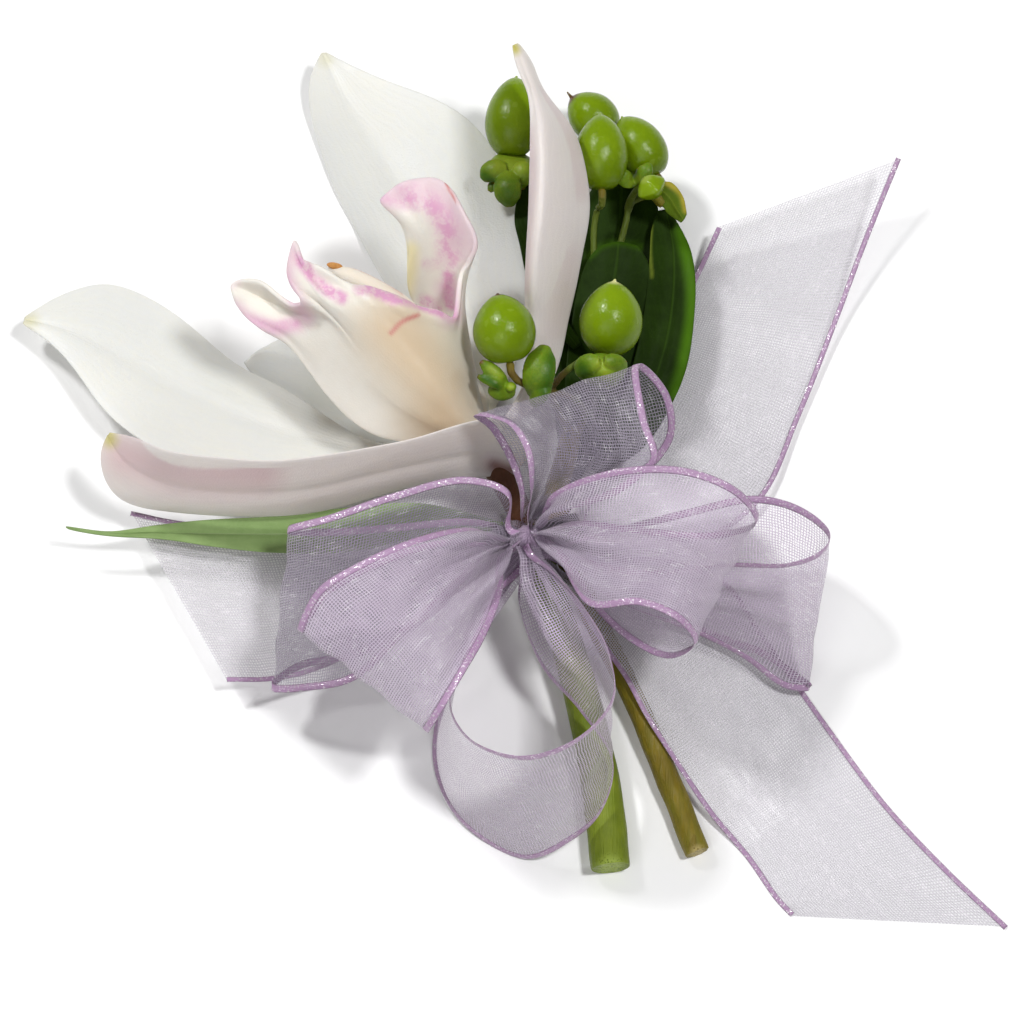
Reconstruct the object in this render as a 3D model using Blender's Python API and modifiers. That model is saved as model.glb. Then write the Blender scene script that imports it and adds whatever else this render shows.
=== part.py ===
"""A corsage laid on a table: one orchid bloom, a sprig of green berries with its leaves, two cut
stems and a bow of organza ribbon. Metres, +Z up, the table is the plane z = 0."""

import math

import bmesh
import bpy
from mathutils import Vector

# Driving sizes, metres
RIBBON_WIDTH = 0.025
ORCHID_STEM_RADII = (0.0029, 0.0029, 0.0027, 0.0024, 0.0021, 0.0019, 0.0024)
SPRIG_STEM_RADIUS = 0.00175
TWIG_RADIUS = 0.0008
PETAL_THICKNESS = 0.0009
LIP_THICKNESS = 0.0008
LEAF_THICKNESS = 0.0006
RIBBON_THICKNESS = 0.0005
CALYX_THICKNESS = 0.0006
WIRE_RADIUS = 0.0003
BERRY_FULLNESS = 0.07
TIP_SHARE = 0.6
GAP = 0.0003

# The picture that the outlines are traced from, and how it looks down on the table
PICTURE_CENTRE = 512
RIBBON_WIDTH_IN_PICTURE = 174
PICTURE_UNIT = RIBBON_WIDTH / RIBBON_WIDTH_IN_PICTURE
VIEW_DISTANCE = 0.80
VIEW_RISE = math.radians(70)
VIEW_HEIGHT = 0.012

# The middle of the whole corsage, measured from the middle of the picture
MIDDLE_X = -0.00076
MIDDLE_Y = 0.00849

# How finely each kind of sheet is divided, along and across
PETAL_GRID = (12, 6)
LIP_GRID = (12, 24)
LEAF_GRID = (10, 4)
RIBBON_GRID = (26, 3)
ROUND_STEPS = 14
ROUND_RINGS = 8
CALYX_RINGS = 4
TUBE_STEPS = 3
TAPE_STEPS = 6
WIRE_STEPS = 24
MEASURING_STEPS = 12
WELD_DISTANCE = 0.00001

# Outlines: each point is across and down in the picture, and millimetres over the table.
# A petal or leaf has an edge, its rib and its other edge, each from the base to the tip.
PETALS = {
    "petal_left": (
        [(467, 441, 11.8), (420, 446, 8), (372, 441, 6), (300, 400, 4.5), (240, 366, 3.5),
         (200, 334, 3), (150, 298, 3), (105, 282, 3.5), (60, 296, 4), (24, 319, 5)],
        [(467, 446, 11.4), (400, 453, 8.5), (330, 443, 7), (260, 425, 6), (180, 392, 5),
         (110, 350, 5.5), (60, 328, 6), (23, 320.5, 5.4)],
        [(467, 451, 11.6), (420, 468, 9), (360, 482, 8.5), (290, 488, 8.2), (210, 478, 8.2),
         (150, 447, 8), (110, 415, 7.8), (60, 352, 6.5), (22, 323, 5.8)]),
    "petal_upper_left": (
        [(472, 431, 10.2), (455, 390, 8), (420, 340, 5), (385, 285, 3.5), (350, 222, 0.6),
         (324, 165, 0.8), (311, 120, 2), (309, 78, 4), (322, 52, 6)],
        [(478, 432, 10), (474, 400, 9.3), (465, 340, 7.5), (445, 280, 6.5), (415, 210, 5.5),
         (380, 150, 5.5), (345, 95, 6), (324, 52, 6.2)],
        [(484, 432, 10.3), (500, 400, 11.5), (520, 350, 12), (527, 290, 11.5), (523, 240, 10),
         (512, 190, 8.6), (495, 150, 8.2), (468, 118, 8.4), (430, 96, 8.6), (385, 80, 8.4),
         (345, 62, 7.4), (326, 52, 6.5)]),
    "sepal_lower_left": (
        [(488, 441, 17.6), (474, 421, 24), (448, 429, 24.5), (415, 439, 25), (365, 449, 26),
         (315, 456, 27), (265, 459, 27), (216, 457, 27), (166, 451, 25), (133, 437, 20),
         (109, 432, 16)],
        [(491, 455, 15.4), (470, 453, 16), (430, 462, 17), (370, 475, 17), (300, 490, 16.5),
         (232, 492, 16), (170, 485, 15.5), (125, 462, 15.5), (108, 434, 16)],
        [(494, 468, 13.6), (464, 479, 11.5), (431, 485, 10.5), (381, 497, 9.5), (332, 510, 8.5),
         (282, 518, 8), (232, 519, 8), (182, 515, 8), (139, 510, 8.5), (119, 502, 9.5),
         (106, 485, 11), (101, 466, 13), (101, 446, 15), (108, 434, 16)]),
    "sepal_upper_right": (
        [(495, 434, 17.3), (524, 385, 19.5), (530, 340, 20), (523, 300, 23), (522, 270, 26),
         (523, 250, 29), (527, 211, 31), (530, 173, 32), (532, 135, 33), (532, 109, 33),
         (527, 91, 33), (519, 73, 32), (514, 58, 31), (512, 45, 30)],
        [(498, 438, 16.1), (535, 375, 18.6), (545, 320, 21), (553, 270, 25), (556, 220, 26.5),
         (553, 170, 27), (543, 120, 28.5), (526, 75, 30), (515, 44, 30)],
        [(501, 443, 15), (548, 390, 17), (565, 347, 18), (573, 308, 18.5), (583, 262, 19),
         (588, 224, 20), (588, 199, 20.8), (583, 163, 21.5), (573, 130, 22.3), (558, 107, 23.5),
         (542, 86, 25), (532, 58, 26.5), (524, 50, 28), (517, 43, 30)]),
    "sepal_back": (
        [(478, 453, 9.2), (425, 452, 4), (360, 440, 1), (300, 410, 0.4), (255, 378, 0.4),
         (243, 362, 1)],
        [(484, 449, 9.1), (430, 402, 4), (370, 372, 0.8), (310, 358, 0.4), (265, 352, 0.6),
         (248, 358, 1)],
        [(490, 445, 9.2), (470, 392, 5.4), (430, 340, 1.5), (380, 315, 0.4), (330, 318, 0.4),
         (290, 334, 0.5), (258, 350, 1)]),
}

# The lip: lines from its narrow base to its rim, taken in turn round its open trough
LIP_LINES = [
    [(463, 444, 13), (415, 440, 14), (375, 428, 14), (345, 392, 15), (318, 352, 18),
     (292, 334, 22), (258, 327, 23)],
    [(465, 443, 13.7), (420, 432, 17), (380, 417, 17.5), (350, 383, 19), (324, 346, 21),
     (288, 326, 24), (228, 287, 25)],
    [(467, 442, 14.3), (424, 425, 20), (386, 406, 21.5), (356, 373, 22.5), (331, 340, 24),
     (290, 318, 26), (250, 276, 27)],
    [(469, 440, 14.8), (430, 420, 22), (395, 398, 24), (362, 365, 25), (338, 335, 26),
     (312, 312, 28), (298, 301, 28.5)],
    [(472, 438, 15.3), (438, 410, 24), (406, 385, 26.5), (374, 352, 28), (349, 325, 29),
     (325, 300, 31), (291, 240, 35)],
    [(474, 436, 15.6), (444, 404, 24.5), (415, 374, 28), (385, 342, 30), (360, 316, 31),
     (340, 300, 32), (312, 264, 33)],
    [(476, 434, 15.7), (448, 400, 24.5), (425, 366, 28), (395, 336, 30), (375, 314, 31),
     (358, 300, 32.5), (345, 291, 33)],
    [(478, 431, 15.6), (455, 395, 24), (437, 358, 27), (415, 328, 29), (400, 310, 30.5),
     (390, 302, 31.5), (383, 298, 32)],
    [(480, 428, 15.3), (462, 390, 22.5), (448, 352, 25.5), (440, 322, 26.5), (434, 314, 28),
     (430, 311, 29), (428, 309, 29.5)],
    [(482, 425, 14.9), (470, 384, 20), (464, 346, 22), (468, 316, 23), (474, 290, 24),
     (478, 265, 27), (477, 248, 29)],
    [(486, 422, 14.1), (476, 380, 15), (474, 342, 17), (470, 305, 19), (466, 262, 24),
     (458, 215, 29), (442, 177, 31)],
    [(487, 419, 13.2), (472, 378, 12), (460, 340, 14), (446, 300, 17), (436, 262, 23),
     (420, 215, 29), (379, 199, 30)],
    [(487, 416, 12.4), (462, 376, 11), (440, 338, 12.5), (420, 305, 16), (411, 270, 22),
     (405, 235, 26), (392, 212, 28)],
]
COLUMN_PATH = [(475, 430, 12.3), (460, 402, 15), (438, 366, 18.5), (410, 325, 22),
               (380, 294, 24.2), (353, 277, 25)]
COLUMN_RADII = (0.0012, 0.0015, 0.0019, 0.0022, 0.0020, 0.0016)
ANTHER_CAP = (341, 271, 25.2)
ANTHER_CAP_RADII = (0.0015, 0.0013, 0.0012)

LEAVES = {
    "leaf_right": (
        [(590, 470, 5), (610, 430, 6), (630, 380, 7), (642, 326, 8), (647, 288, 8.5),
         (650, 250, 8.5), (655, 220, 8.2), (664, 203, 8)],
        [(595, 472, 5), (625, 440, 5), (650, 390, 5), (665, 340, 5.5), (672, 290, 6),
         (672, 250, 6.8), (668, 222, 7.4), (665, 203, 8)],
        [(600, 475, 5), (640, 450, 5), (668, 405, 5.5), (685, 364, 6), (694, 313, 6.5),
         (695, 275, 7), (685, 232, 7.6), (666, 204, 8)]),
    "leaf_middle": (
        [(570, 470, 5), (560, 430, 6), (556, 380, 6.5), (562, 330, 6.5), (575, 285, 6.5),
         (595, 250, 6.5), (622, 235, 7)],
        [(575, 471, 5), (582, 435, 4.5), (592, 385, 4.5), (602, 335, 4.8), (612, 290, 5.4),
         (618, 258, 6), (625, 234, 7)],
        [(580, 472, 5), (605, 440, 5), (628, 395, 5), (640, 345, 5.2), (645, 300, 5.6),
         (642, 262, 6.2), (628, 235, 7)]),
    "leaf_back": (
        [(574, 350, 9), (548, 325, 13), (528, 280, 15), (517, 240, 16), (510, 205, 17),
         (508, 190, 17.5)],
        [(578, 347, 9.2), (556, 320, 12.4), (540, 280, 14), (531, 240, 15), (520, 205, 16.5),
         (510, 190, 17.5)],
        [(582, 344, 9.4), (565, 315, 12), (552, 280, 13), (545, 240, 14), (530, 205, 16),
         (512, 190, 17.5)]),
    "leaf_small": (
        [(660, 186, 14.4), (671, 190, 14.6), (684, 204, 13.8), (688, 220, 12.6)],
        [(659, 190, 14.4), (668, 196, 14.2), (678, 208, 13.2), (685, 221, 12.5)],
        [(659, 194, 14.4), (665, 203, 14.4), (672, 212, 13.4), (682, 222, 12.5)]),
    "narrow_leaf": (
        [(491, 498, 8), (420, 497, 7), (340, 508, 6.5), (290, 515, 6), (200, 520, 6),
         (150, 526, 6.5), (110, 532, 7), (65, 526, 8)],
        [(493, 507, 7.2), (425, 516, 6), (345, 530, 5.5), (290, 534, 5.2), (215, 534, 5.4),
         (160, 533, 6), (110, 534, 6.8), (65, 527, 8)],
        [(494, 517, 7.6), (430, 535, 7), (350, 552, 6.5), (285, 553, 6.5), (230, 547, 6.5),
         (170, 540, 6.8), (110, 536, 7.2), (66, 528, 8)]),
}

# Berries: middle, tip direction point, width and length in picture units
BERRIES = {
    "berry_1": ((511, 120, 14.5), (518, 78, 15.5), 54, 82),
    "berry_2": ((599, 113, 8.5), (573, 97, 9.5), 50, 68),
    "berry_3": ((601, 153, 16.5), (598, 112, 18), 54, 74),
    "berry_4": ((640, 151, 11.3), (620, 118, 12.3), 49, 68),
    "berry_5": ((503, 330, 27), (497, 298, 29), 62, 68),
    "berry_6": ((611, 320, 17.5), (613, 284, 20), 63, 74),
    "berry_bud": ((653, 187, 16.5), (652, 178, 18), 26, 22),
}
CALYXES = ("berry_1", "berry_4", "berry_5", "berry_6")
CALYX_REACH = math.radians(62)

# Stems and twigs
ORCHID_STEM = [(611, 868, 2.9), (600, 780, 3.2), (580, 690, 4.5), (553, 600, 6.5),
               (530, 535, 8), (512, 495, 9.5), (499, 470, 10.8), (491, 452, 11.8),
               (485, 438, 12.3)]
SPRIG_STEM = [(698, 853, 1.75), (660, 760, 2.4), (630, 690, 3.6), (590, 610, 5),
              (562, 540, 6.5), (556, 500, 8), (575, 440, 8), (590, 380, 8.5),
              (600, 300, 9), (605, 240, 10.5)]
# Twigs: the berry that each one carries, and its way there from the stem
TWIGS = {
    "berry_1": [(600, 300, 9), (575, 240, 10.5), (540, 200, 11.5)],
    "berry_2": [(605, 240, 10.5), (620, 190, 8), (628, 150, 7)],
    "berry_3": [(605, 240, 10.5), (606, 218, 12.5)],
    "berry_4": [(605, 240, 10.5), (635, 210, 10)],
    "berry_bud": [(605, 240, 10.5), (632, 216, 13)],
    "berry_5": [(575, 440, 8), (584, 412, 13), (568, 396, 19), (540, 390, 21.5)],
    "berry_6": [(590, 380, 8.5), (600, 378, 10.5)],
}

# Ribbons: two edges, point for point, along the length
RIBBONS = {
    "bow_loop_top": (
        [(522, 519, 20), (524, 487, 27), (515, 445, 30), (497, 421, 31), (475, 415, 29.5),
         (492, 430, 25), (508, 457, 23), (520, 490, 20), (521, 518, 16)],
        [(534, 518, 20), (590, 487, 28), (655, 462, 31), (645, 418, 33), (639, 364, 30),
         (668, 395, 25), (671, 440, 21), (620, 490, 18), (535, 517, 16)]),
    "bow_loop_left_back": (
        [(511, 528, 18), (509, 492, 21), (465, 478, 22), (392, 495, 21), (330, 516, 19),
         (288, 528, 16), (330, 530, 13), (400, 525, 12.5), (470, 520, 13), (508, 529, 14.5)],
        [(504, 535, 15.5), (470, 575, 15), (410, 628, 15), (354, 679, 13), (310, 689, 11),
         (272, 689, 8), (300, 668, 7.5), (360, 655, 8), (440, 610, 11), (502, 537, 13.5)]),
    "bow_loop_left_front": (
        [(505, 541, 20), (471, 528, 28), (415, 539, 33), (360, 563, 34), (318, 590, 32),
         (298, 630, 27), (335, 615, 23), (400, 585, 22), (460, 560, 20), (505, 545, 16.5)],
        [(506, 552, 20), (501, 590, 26), (484, 636, 31), (462, 675, 33), (440, 712, 32),
         (427, 732, 28), (436, 700, 24), (455, 655, 22.5), (480, 600, 20), (507, 556, 16.5)]),
    "bow_loop_right_front": (
        [(546, 527, 20), (556, 490, 28), (618, 468, 33), (683, 469, 34), (737, 490, 32),
         (757, 519, 27), (715, 533, 22), (641, 529, 20), (579, 522, 19), (547, 529, 16.5)],
        [(551, 540, 20), (563, 570, 25), (592, 605, 28), (640, 604, 31), (678, 620, 30),
         (694, 643, 26), (668, 657, 21), (630, 640, 18), (595, 607, 17), (552, 541, 16.5)]),
    "bow_loop_right_back": (
        [(553, 548, 14.8), (640, 570, 15.5), (733, 564, 19), (790, 564, 20), (822, 551, 19.5),
         (830, 534, 18), (800, 508, 15), (754, 497, 13), (690, 510, 12), (620, 528, 12.4),
         (557, 545, 12.8)],
        [(553, 556, 13.6), (620, 600, 10), (702, 635, 6), (745, 658, 4), (785, 687, 2.6),
         (809, 689, 2.6), (795, 678, 2.6), (763, 656, 2.8), (720, 640, 4), (640, 600, 8.6),
         (557, 552, 12.2)]),
    "bow_loop_bottom": (
        [(537, 554, 18.6), (555, 570, 22), (586, 610, 25), (609, 655, 29), (612, 698, 30),
         (580, 736, 29), (524, 756, 25.5), (474, 742, 24), (451, 707, 21), (462, 655, 17),
         (485, 600, 14), (515, 563, 13)],
        [(528, 562, 16.8), (519, 600, 12), (540, 665, 11), (580, 712, 9), (612, 762, 8),
         (600, 812, 7.5), (570, 840, 5), (524, 858, 0.6), (462, 822, 0.6), (435, 768, 0.6),
         (440, 705, 2), (512, 568, 10.5)]),
    "ribbon_tail_upper_right": (
        [(578, 531, 4.4), (597, 470, 2), (625, 410, 1.5), (655, 355, 1), (680, 305, 1),
         (697, 272, 2), (718, 227, 5)],
        [(586, 529, 3.6), (700, 540, 2.5), (760, 500, 1.6), (800, 415, 1), (838, 318, 2),
         (868, 238, 5), (900, 159, 9)]),
    "ribbon_tail_lower_right": (
        [(560, 585, 10.6), (580, 608, 9), (603, 645, 8), (627, 681, 6.8), (645, 715, 5.6),
         (668, 751, 4.5), (708, 811, 2), (745, 856, 0), (776, 900, 0), (791, 916, 0)],
        [(572, 577, 10.4), (614, 562, 6.8), (660, 560, 4), (725, 582, 2.5), (758, 628, 1),
         (786, 668, 0), (830, 730, 0), (886, 805, 0), (945, 868, 0), (1007, 927, 0)]),
    "ribbon_tail_left": (
        [(508, 541, 5), (450, 531, 4), (350, 530, 3), (250, 527, 3.5), (180, 522, 4),
         (131, 512, 5)],
        [(509, 552, 4.6), (460, 590, 3), (380, 640, 2.5), (310, 672, 2.5), (272, 680, 3),
         (227, 681, 5)]),
}

# The tie
KNOT = (529, 541, 16)
KNOT_RADII = (0.0027, 0.0027, 0.0044)
TAPE_PATH = [(556, 566, 6.9), (546, 541, 7.3), (538, 512, 8.4)]
TAPE_HALF_WIDTH = 0.0054
TAPE_HALF_HEIGHT = 0.0039


def clear_scene():
    """Start from an empty scene with one collection for the corsage and one for joined shapes."""
    for item in list(bpy.data.objects):
        bpy.data.objects.remove(item)
    for name in ("corsage", "cutters"):
        bpy.context.scene.collection.children.link(bpy.data.collections.new(name))


def finish(name, colour, roughness):
    """A plain material with one colour and one roughness."""
    surface = bpy.data.materials.new(name)
    surface.use_nodes = True
    shader = surface.node_tree.nodes["Principled BSDF"]
    shader.inputs["Base Color"].default_value = (*colour, 1)
    shader.inputs["Roughness"].default_value = roughness
    surface.diffuse_color = (*colour, 1)
    return surface


def add_mesh(name, mesh, surface, collection="corsage"):
    """Put a mesh in the scene as one named object."""
    item = bpy.data.objects.new(name, mesh)
    bpy.data.collections[collection].objects.link(item)
    mesh.materials.append(surface)
    return item


def table_point(across, down, height):
    """The place over the table, at a height in millimetres, that is seen at a picture point."""
    rise = Vector((0, -math.cos(VIEW_RISE), math.sin(VIEW_RISE)))
    up = Vector((0, math.sin(VIEW_RISE), math.cos(VIEW_RISE)))
    eye = Vector((0, 0, VIEW_HEIGHT)) + rise * VIEW_DISTANCE
    slope = PICTURE_UNIT / VIEW_DISTANCE
    ray = -rise + up * (PICTURE_CENTRE - down) * slope
    ray.x += (across - PICTURE_CENTRE) * slope
    reach = (height / 1000 - eye.z) / ray.z
    return eye + ray * reach - Vector((MIDDLE_X, MIDDLE_Y, 0))


def trace(points):
    """The places of a list of picture points."""
    return [table_point(*point) for point in points]


def smooth(points, amount):
    """A point on the smooth curve through points; amount runs from 0 to the last index."""
    first = min(int(amount), len(points) - 2)
    part = amount - first
    here, there = points[first], points[first + 1]
    before = points[first - 1] if first else here * 2 - there
    after = points[first + 2] if first + 2 < len(points) else there * 2 - here
    step_in = max(math.sqrt((here - before).length), 1e-6)
    step = max(math.sqrt((there - here).length), 1e-6)
    step_out = max(math.sqrt((after - there).length), 1e-6)
    leave = (here - before) / step_in - (there - before) / (step_in + step) + (there - here) / step
    reach = (there - here) / step - (after - here) / (step + step_out) + (after - there) / step_out
    square, cube = part ** 2, part ** 3
    return (here * (2 * cube - 3 * square + 1) + leave * step * (cube - 2 * square + part)
            + there * (3 * square - 2 * cube) + reach * step * (cube - square))


def even_amounts(points, count):
    """Curve amounts that split the curve through points into equal lengths."""
    last = len(points) - 1
    amounts = [step / MEASURING_STEPS for step in range(last * MEASURING_STEPS + 1)]
    places = [smooth(points, amount) for amount in amounts]
    lengths = [0]
    for here, there in zip(places, places[1:]):
        lengths.append(lengths[-1] + (there - here).length)
    chosen = []
    for step in range(count + 1):
        wanted = lengths[-1] * step / count
        upper = next(i for i, length in enumerate(lengths) if length >= wanted - 1e-12)
        lower = max(upper - 1, 0)
        span = lengths[upper] - lengths[lower]
        share = (wanted - lengths[lower]) / span if span else 0
        chosen.append(amounts[lower] + (amounts[upper] - amounts[lower]) * share)
    return chosen


def spread(points, count):
    """Points at equal lengths along the curve through points."""
    return [smooth(points, amount) for amount in even_amounts(points, count)]


def lofted_sheet(name, rows, thickness, surface):
    """A thin closed sheet through rows of points, with nothing of it under the table."""
    across, along = len(rows) - 1, len(rows[0]) - 1
    shape = bmesh.new()
    bmesh.ops.create_grid(shape, x_segments=along, y_segments=across, size=1)
    for corner in shape.verts:
        column = round((corner.co.x + 1) / 2 * along)
        row = round((corner.co.y + 1) / 2 * across)
        corner.co = rows[row][column]
        corner.co.z = max(corner.co.z, thickness / 2)
    mesh = bpy.data.meshes.new(name)
    shape.to_mesh(mesh)
    shape.free()
    mesh.shade_smooth()
    item = add_mesh(name, mesh, surface)
    shell = item.modifiers.new("thickness", "SOLIDIFY")
    shell.thickness = thickness
    shell.offset = 0
    return item


def blade(name, outlines, grid, thickness, surface):
    """A petal, leaf or lip through lines that run side by side from its base to its far edge."""
    along, across = grid
    lines = [spread(trace(outline), along) for outline in outlines]
    columns = list(zip(*lines))
    rows = []
    for step in range(across + 1):
        amount = step / across * (len(lines) - 1)
        rows.append([smooth(list(column), amount) for column in columns])
    return lofted_sheet(name, rows, thickness, surface)


def ribbon(name, edges, surface):
    """A length of ribbon between its two edges, which are matched point for point."""
    along, across = RIBBON_GRID
    first, second = [trace(edge) for edge in edges]
    middle = [(here + there) / 2 for here, there in zip(first, second)]
    amounts = even_amounts(middle, along)
    starts = [smooth(first, amount) for amount in amounts]
    ends = [smooth(second, amount) for amount in amounts]
    rows = []
    for step in range(across + 1):
        share = step / across
        rows.append([start.lerp(end, share) for start, end in zip(starts, ends)])
    return lofted_sheet(name, rows, RIBBON_THICKNESS, surface)


def turned(name, profile, middle, axis, surface):
    """A solid turned from a profile of radius and height, with its axis laid along a direction."""
    mesh = bpy.data.meshes.new(name)
    line = [(radius, 0, height) for radius, height in profile]
    mesh.from_pydata(line, [(i, i + 1) for i in range(len(line) - 1)], [])
    item = add_mesh(name, mesh, surface)
    turn = item.modifiers.new("turn", "SCREW")
    turn.steps = ROUND_STEPS
    turn.render_steps = ROUND_STEPS
    turn.use_merge_vertices = True
    turn.merge_threshold = WELD_DISTANCE
    turn.use_smooth_shade = True
    item.location = middle
    item.rotation_mode = "QUATERNION"
    item.rotation_quaternion = axis.to_track_quat("Z", "Y")
    return item


def berry_radius(height, width, length):
    """Half the width of a berry at a height over its middle: egg shaped, fuller at its foot."""
    share = max(-1, min(1, 2 * height / length))
    return width / 2 * math.sqrt(1 - share ** 2) * (1 - BERRY_FULLNESS * share)


def berry_frame(name):
    """Middle, axis, width and length of a berry."""
    middle, tip, width, length = BERRIES[name]
    start = table_point(*middle)
    axis = (table_point(*tip) - start).normalized()
    return start, axis, width * PICTURE_UNIT, length * PICTURE_UNIT


def berry(name, surface):
    """One berry, turned about the line from its foot to its tip."""
    middle, axis, width, length = berry_frame(name)
    profile = []
    for step in range(ROUND_RINGS + 1):
        height = length / 2 * math.cos(math.pi * step / ROUND_RINGS)
        profile.append((berry_radius(height, width, length), height))
    profile[0] = (0, length / 2)
    profile[-1] = (0, -length / 2)
    return turned(name, profile, middle, axis, surface)


def calyx(name, surface):
    """The cup of sepals that a berry sits in, a gap away from its skin."""
    middle, axis, width, length = berry_frame(name)
    inner_width = width + 2 * GAP
    inner_length = length + 2 * GAP
    outer_width = inner_width + 2 * CALYX_THICKNESS
    outer_length = inner_length + 2 * CALYX_THICKNESS
    angles = [math.pi - CALYX_REACH * step / CALYX_RINGS for step in range(CALYX_RINGS + 1)]
    inner = []
    outer = []
    for angle in angles:
        height = inner_length / 2 * math.cos(angle)
        inner.append((berry_radius(height, inner_width, inner_length), height))
        height = outer_length / 2 * math.cos(angle)
        outer.append((berry_radius(height, outer_width, outer_length), height))
    inner[0] = (0, -inner_length / 2)
    outer[0] = (0, -outer_length / 2)
    profile = inner + outer[::-1]
    return turned("calyx_" + name[-1], profile, middle, axis, surface)


def twig_way(name):
    """A twig's way from the stem to just under its berry, or under the cup of the berry."""
    middle, axis, width, length = berry_frame(name)
    reach = length / 2 + 2 * GAP
    if name in CALYXES:
        reach += CALYX_THICKNESS + GAP
    straight = reach + 2 * TWIG_RADIUS
    return trace(TWIGS[name]) + [middle - axis * straight, middle - axis * reach]


def tube(name, points, radii, surface, collection="corsage"):
    """A round stem along a smooth path, thinner or thicker from end to end."""
    count = TUBE_STEPS * (len(points) - 1)
    data = bpy.data.curves.new(name, "CURVE")
    data.dimensions = "3D"
    data.bevel_depth = 1
    data.bevel_resolution = 3
    data.use_fill_caps = True
    line = data.splines.new("POLY")
    line.points.add(count)
    for step, point in enumerate(spread(points, count)):
        line.points[step].co = (*point, 1)
        amount = step / count * (len(radii) - 1)
        low = min(int(amount), len(radii) - 2)
        line.points[step].radius = radii[low] + (radii[low + 1] - radii[low]) * (amount - low)
    item = bpy.data.objects.new(name, data)
    bpy.data.collections[collection].objects.link(item)
    data.materials.append(surface)
    return item


def tube_as_mesh(name, points, radii, surface, collection):
    """A stem as a closed mesh, for joining to another."""
    line = tube(name + "_line", points, radii, surface, collection)
    bpy.context.view_layer.update()
    mesh = bpy.data.meshes.new_from_object(line.evaluated_get(bpy.context.evaluated_depsgraph_get()))
    bpy.data.objects.remove(line)
    shape = bmesh.new()
    shape.from_mesh(mesh)
    bmesh.ops.remove_doubles(shape, verts=shape.verts, dist=WELD_DISTANCE)
    bmesh.ops.recalc_face_normals(shape, faces=shape.faces)
    shape.to_mesh(mesh)
    shape.free()
    item = bpy.data.objects.new(name, mesh)
    bpy.data.collections[collection].objects.link(item)
    return item


def sprig_stem(surface):
    """The berry sprig's woody stem with the twigs that branch from it, in one piece."""
    thin = SPRIG_STEM_RADIUS * TIP_SHARE
    stem = tube_as_mesh("hypericum_stem", trace(SPRIG_STEM),
                        (SPRIG_STEM_RADIUS, SPRIG_STEM_RADIUS, thin), surface, "corsage")
    for name in TWIGS:
        twig = tube_as_mesh("twig_to_" + name, twig_way(name), (TWIG_RADIUS, TWIG_RADIUS),
                            surface, "cutters")
        twig.hide_render = True
        twig.display_type = "WIRE"
        joint = stem.modifiers.new("twig_to_" + name, "BOOLEAN")
        joint.operation = "UNION"
        joint.solver = "EXACT"
        joint.object = twig
    return stem


def ball(name, place, radii, surface):
    """A rounded lump with its own half sizes along x, y and z."""
    shape = bmesh.new()
    bmesh.ops.create_uvsphere(shape, u_segments=ROUND_STEPS, v_segments=ROUND_RINGS, radius=1)
    bmesh.ops.scale(shape, vec=radii, verts=shape.verts)
    mesh = bpy.data.meshes.new(name)
    shape.to_mesh(mesh)
    shape.free()
    mesh.shade_smooth()
    item = add_mesh(name, mesh, surface)
    item.location = table_point(*place)
    return item


def tape_directions():
    """The directions across the taped stems, sideways and upwards."""
    points = trace(TAPE_PATH)
    along = (points[-1] - points[0]).normalized()
    side = along.cross(Vector((0, 0, 1))).normalized()
    return side, side.cross(along)


def stem_tape(surface):
    """Florist's tape: an open sleeve of flattened oval section round both stems."""
    points = trace(TAPE_PATH)
    middle_line = spread(points, TAPE_STEPS)
    side, up = tape_directions()
    rows = []
    for turn in range(ROUND_STEPS + 1):
        angle = math.tau * turn / ROUND_STEPS
        offset = side * math.cos(angle) * TAPE_HALF_WIDTH + up * math.sin(angle) * TAPE_HALF_HEIGHT
        rows.append([place + offset for place in middle_line])
    item = lofted_sheet("stem_tape", rows, RIBBON_THICKNESS, surface)
    shape = bmesh.new()
    shape.from_mesh(item.data)
    bmesh.ops.remove_doubles(shape, verts=shape.verts, dist=WELD_DISTANCE)
    shape.to_mesh(item.data)
    shape.free()
    return item


def binding_wire(surface):
    """A closed ring of wire drawn round the taped stems under the bow."""
    middle = table_point(*TAPE_PATH[1])
    side, up = tape_directions()
    reach = RIBBON_THICKNESS / 2 + GAP + WIRE_RADIUS
    data = bpy.data.curves.new("binding_wire", "CURVE")
    data.dimensions = "3D"
    data.bevel_depth = WIRE_RADIUS
    data.bevel_resolution = 1
    line = data.splines.new("POLY")
    line.points.add(WIRE_STEPS - 1)
    line.use_cyclic_u = True
    for step in range(WIRE_STEPS):
        angle = math.tau * step / WIRE_STEPS
        offset = (side * math.cos(angle) * (TAPE_HALF_WIDTH + reach)
                  + up * math.sin(angle) * (TAPE_HALF_HEIGHT + reach))
        line.points[step].co = (*(middle + offset), 1)
    item = bpy.data.objects.new("binding_wire", data)
    bpy.data.collections["corsage"].objects.link(item)
    data.materials.append(surface)
    return item


def orchid():
    """The bloom: five petals and sepals, the lip, the column with its cap, and the stem."""
    cream = finish("petal_cream", (0.93, 0.93, 0.90), 0.45)
    blush = finish("petal_blush", (0.82, 0.74, 0.75), 0.45)
    orange = finish("anther_orange", (0.80, 0.50, 0.15), 0.5)
    green = finish("orchid_stem_green", (0.45, 0.62, 0.12), 0.5)
    for name, outlines in PETALS.items():
        surface = blush if name in ("sepal_lower_left", "sepal_upper_right") else cream
        blade(name, outlines, PETAL_GRID, PETAL_THICKNESS, surface)
    lip = finish("lip_cream", (0.90, 0.82, 0.76), 0.45)
    blade("orchid_lip", LIP_LINES, LIP_GRID, LIP_THICKNESS, lip)
    tube("orchid_column", trace(COLUMN_PATH), COLUMN_RADII, cream)
    ball("anther_cap", ANTHER_CAP, ANTHER_CAP_RADII, orange)
    tube("orchid_stem", trace(ORCHID_STEM), ORCHID_STEM_RADII, green)


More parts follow.
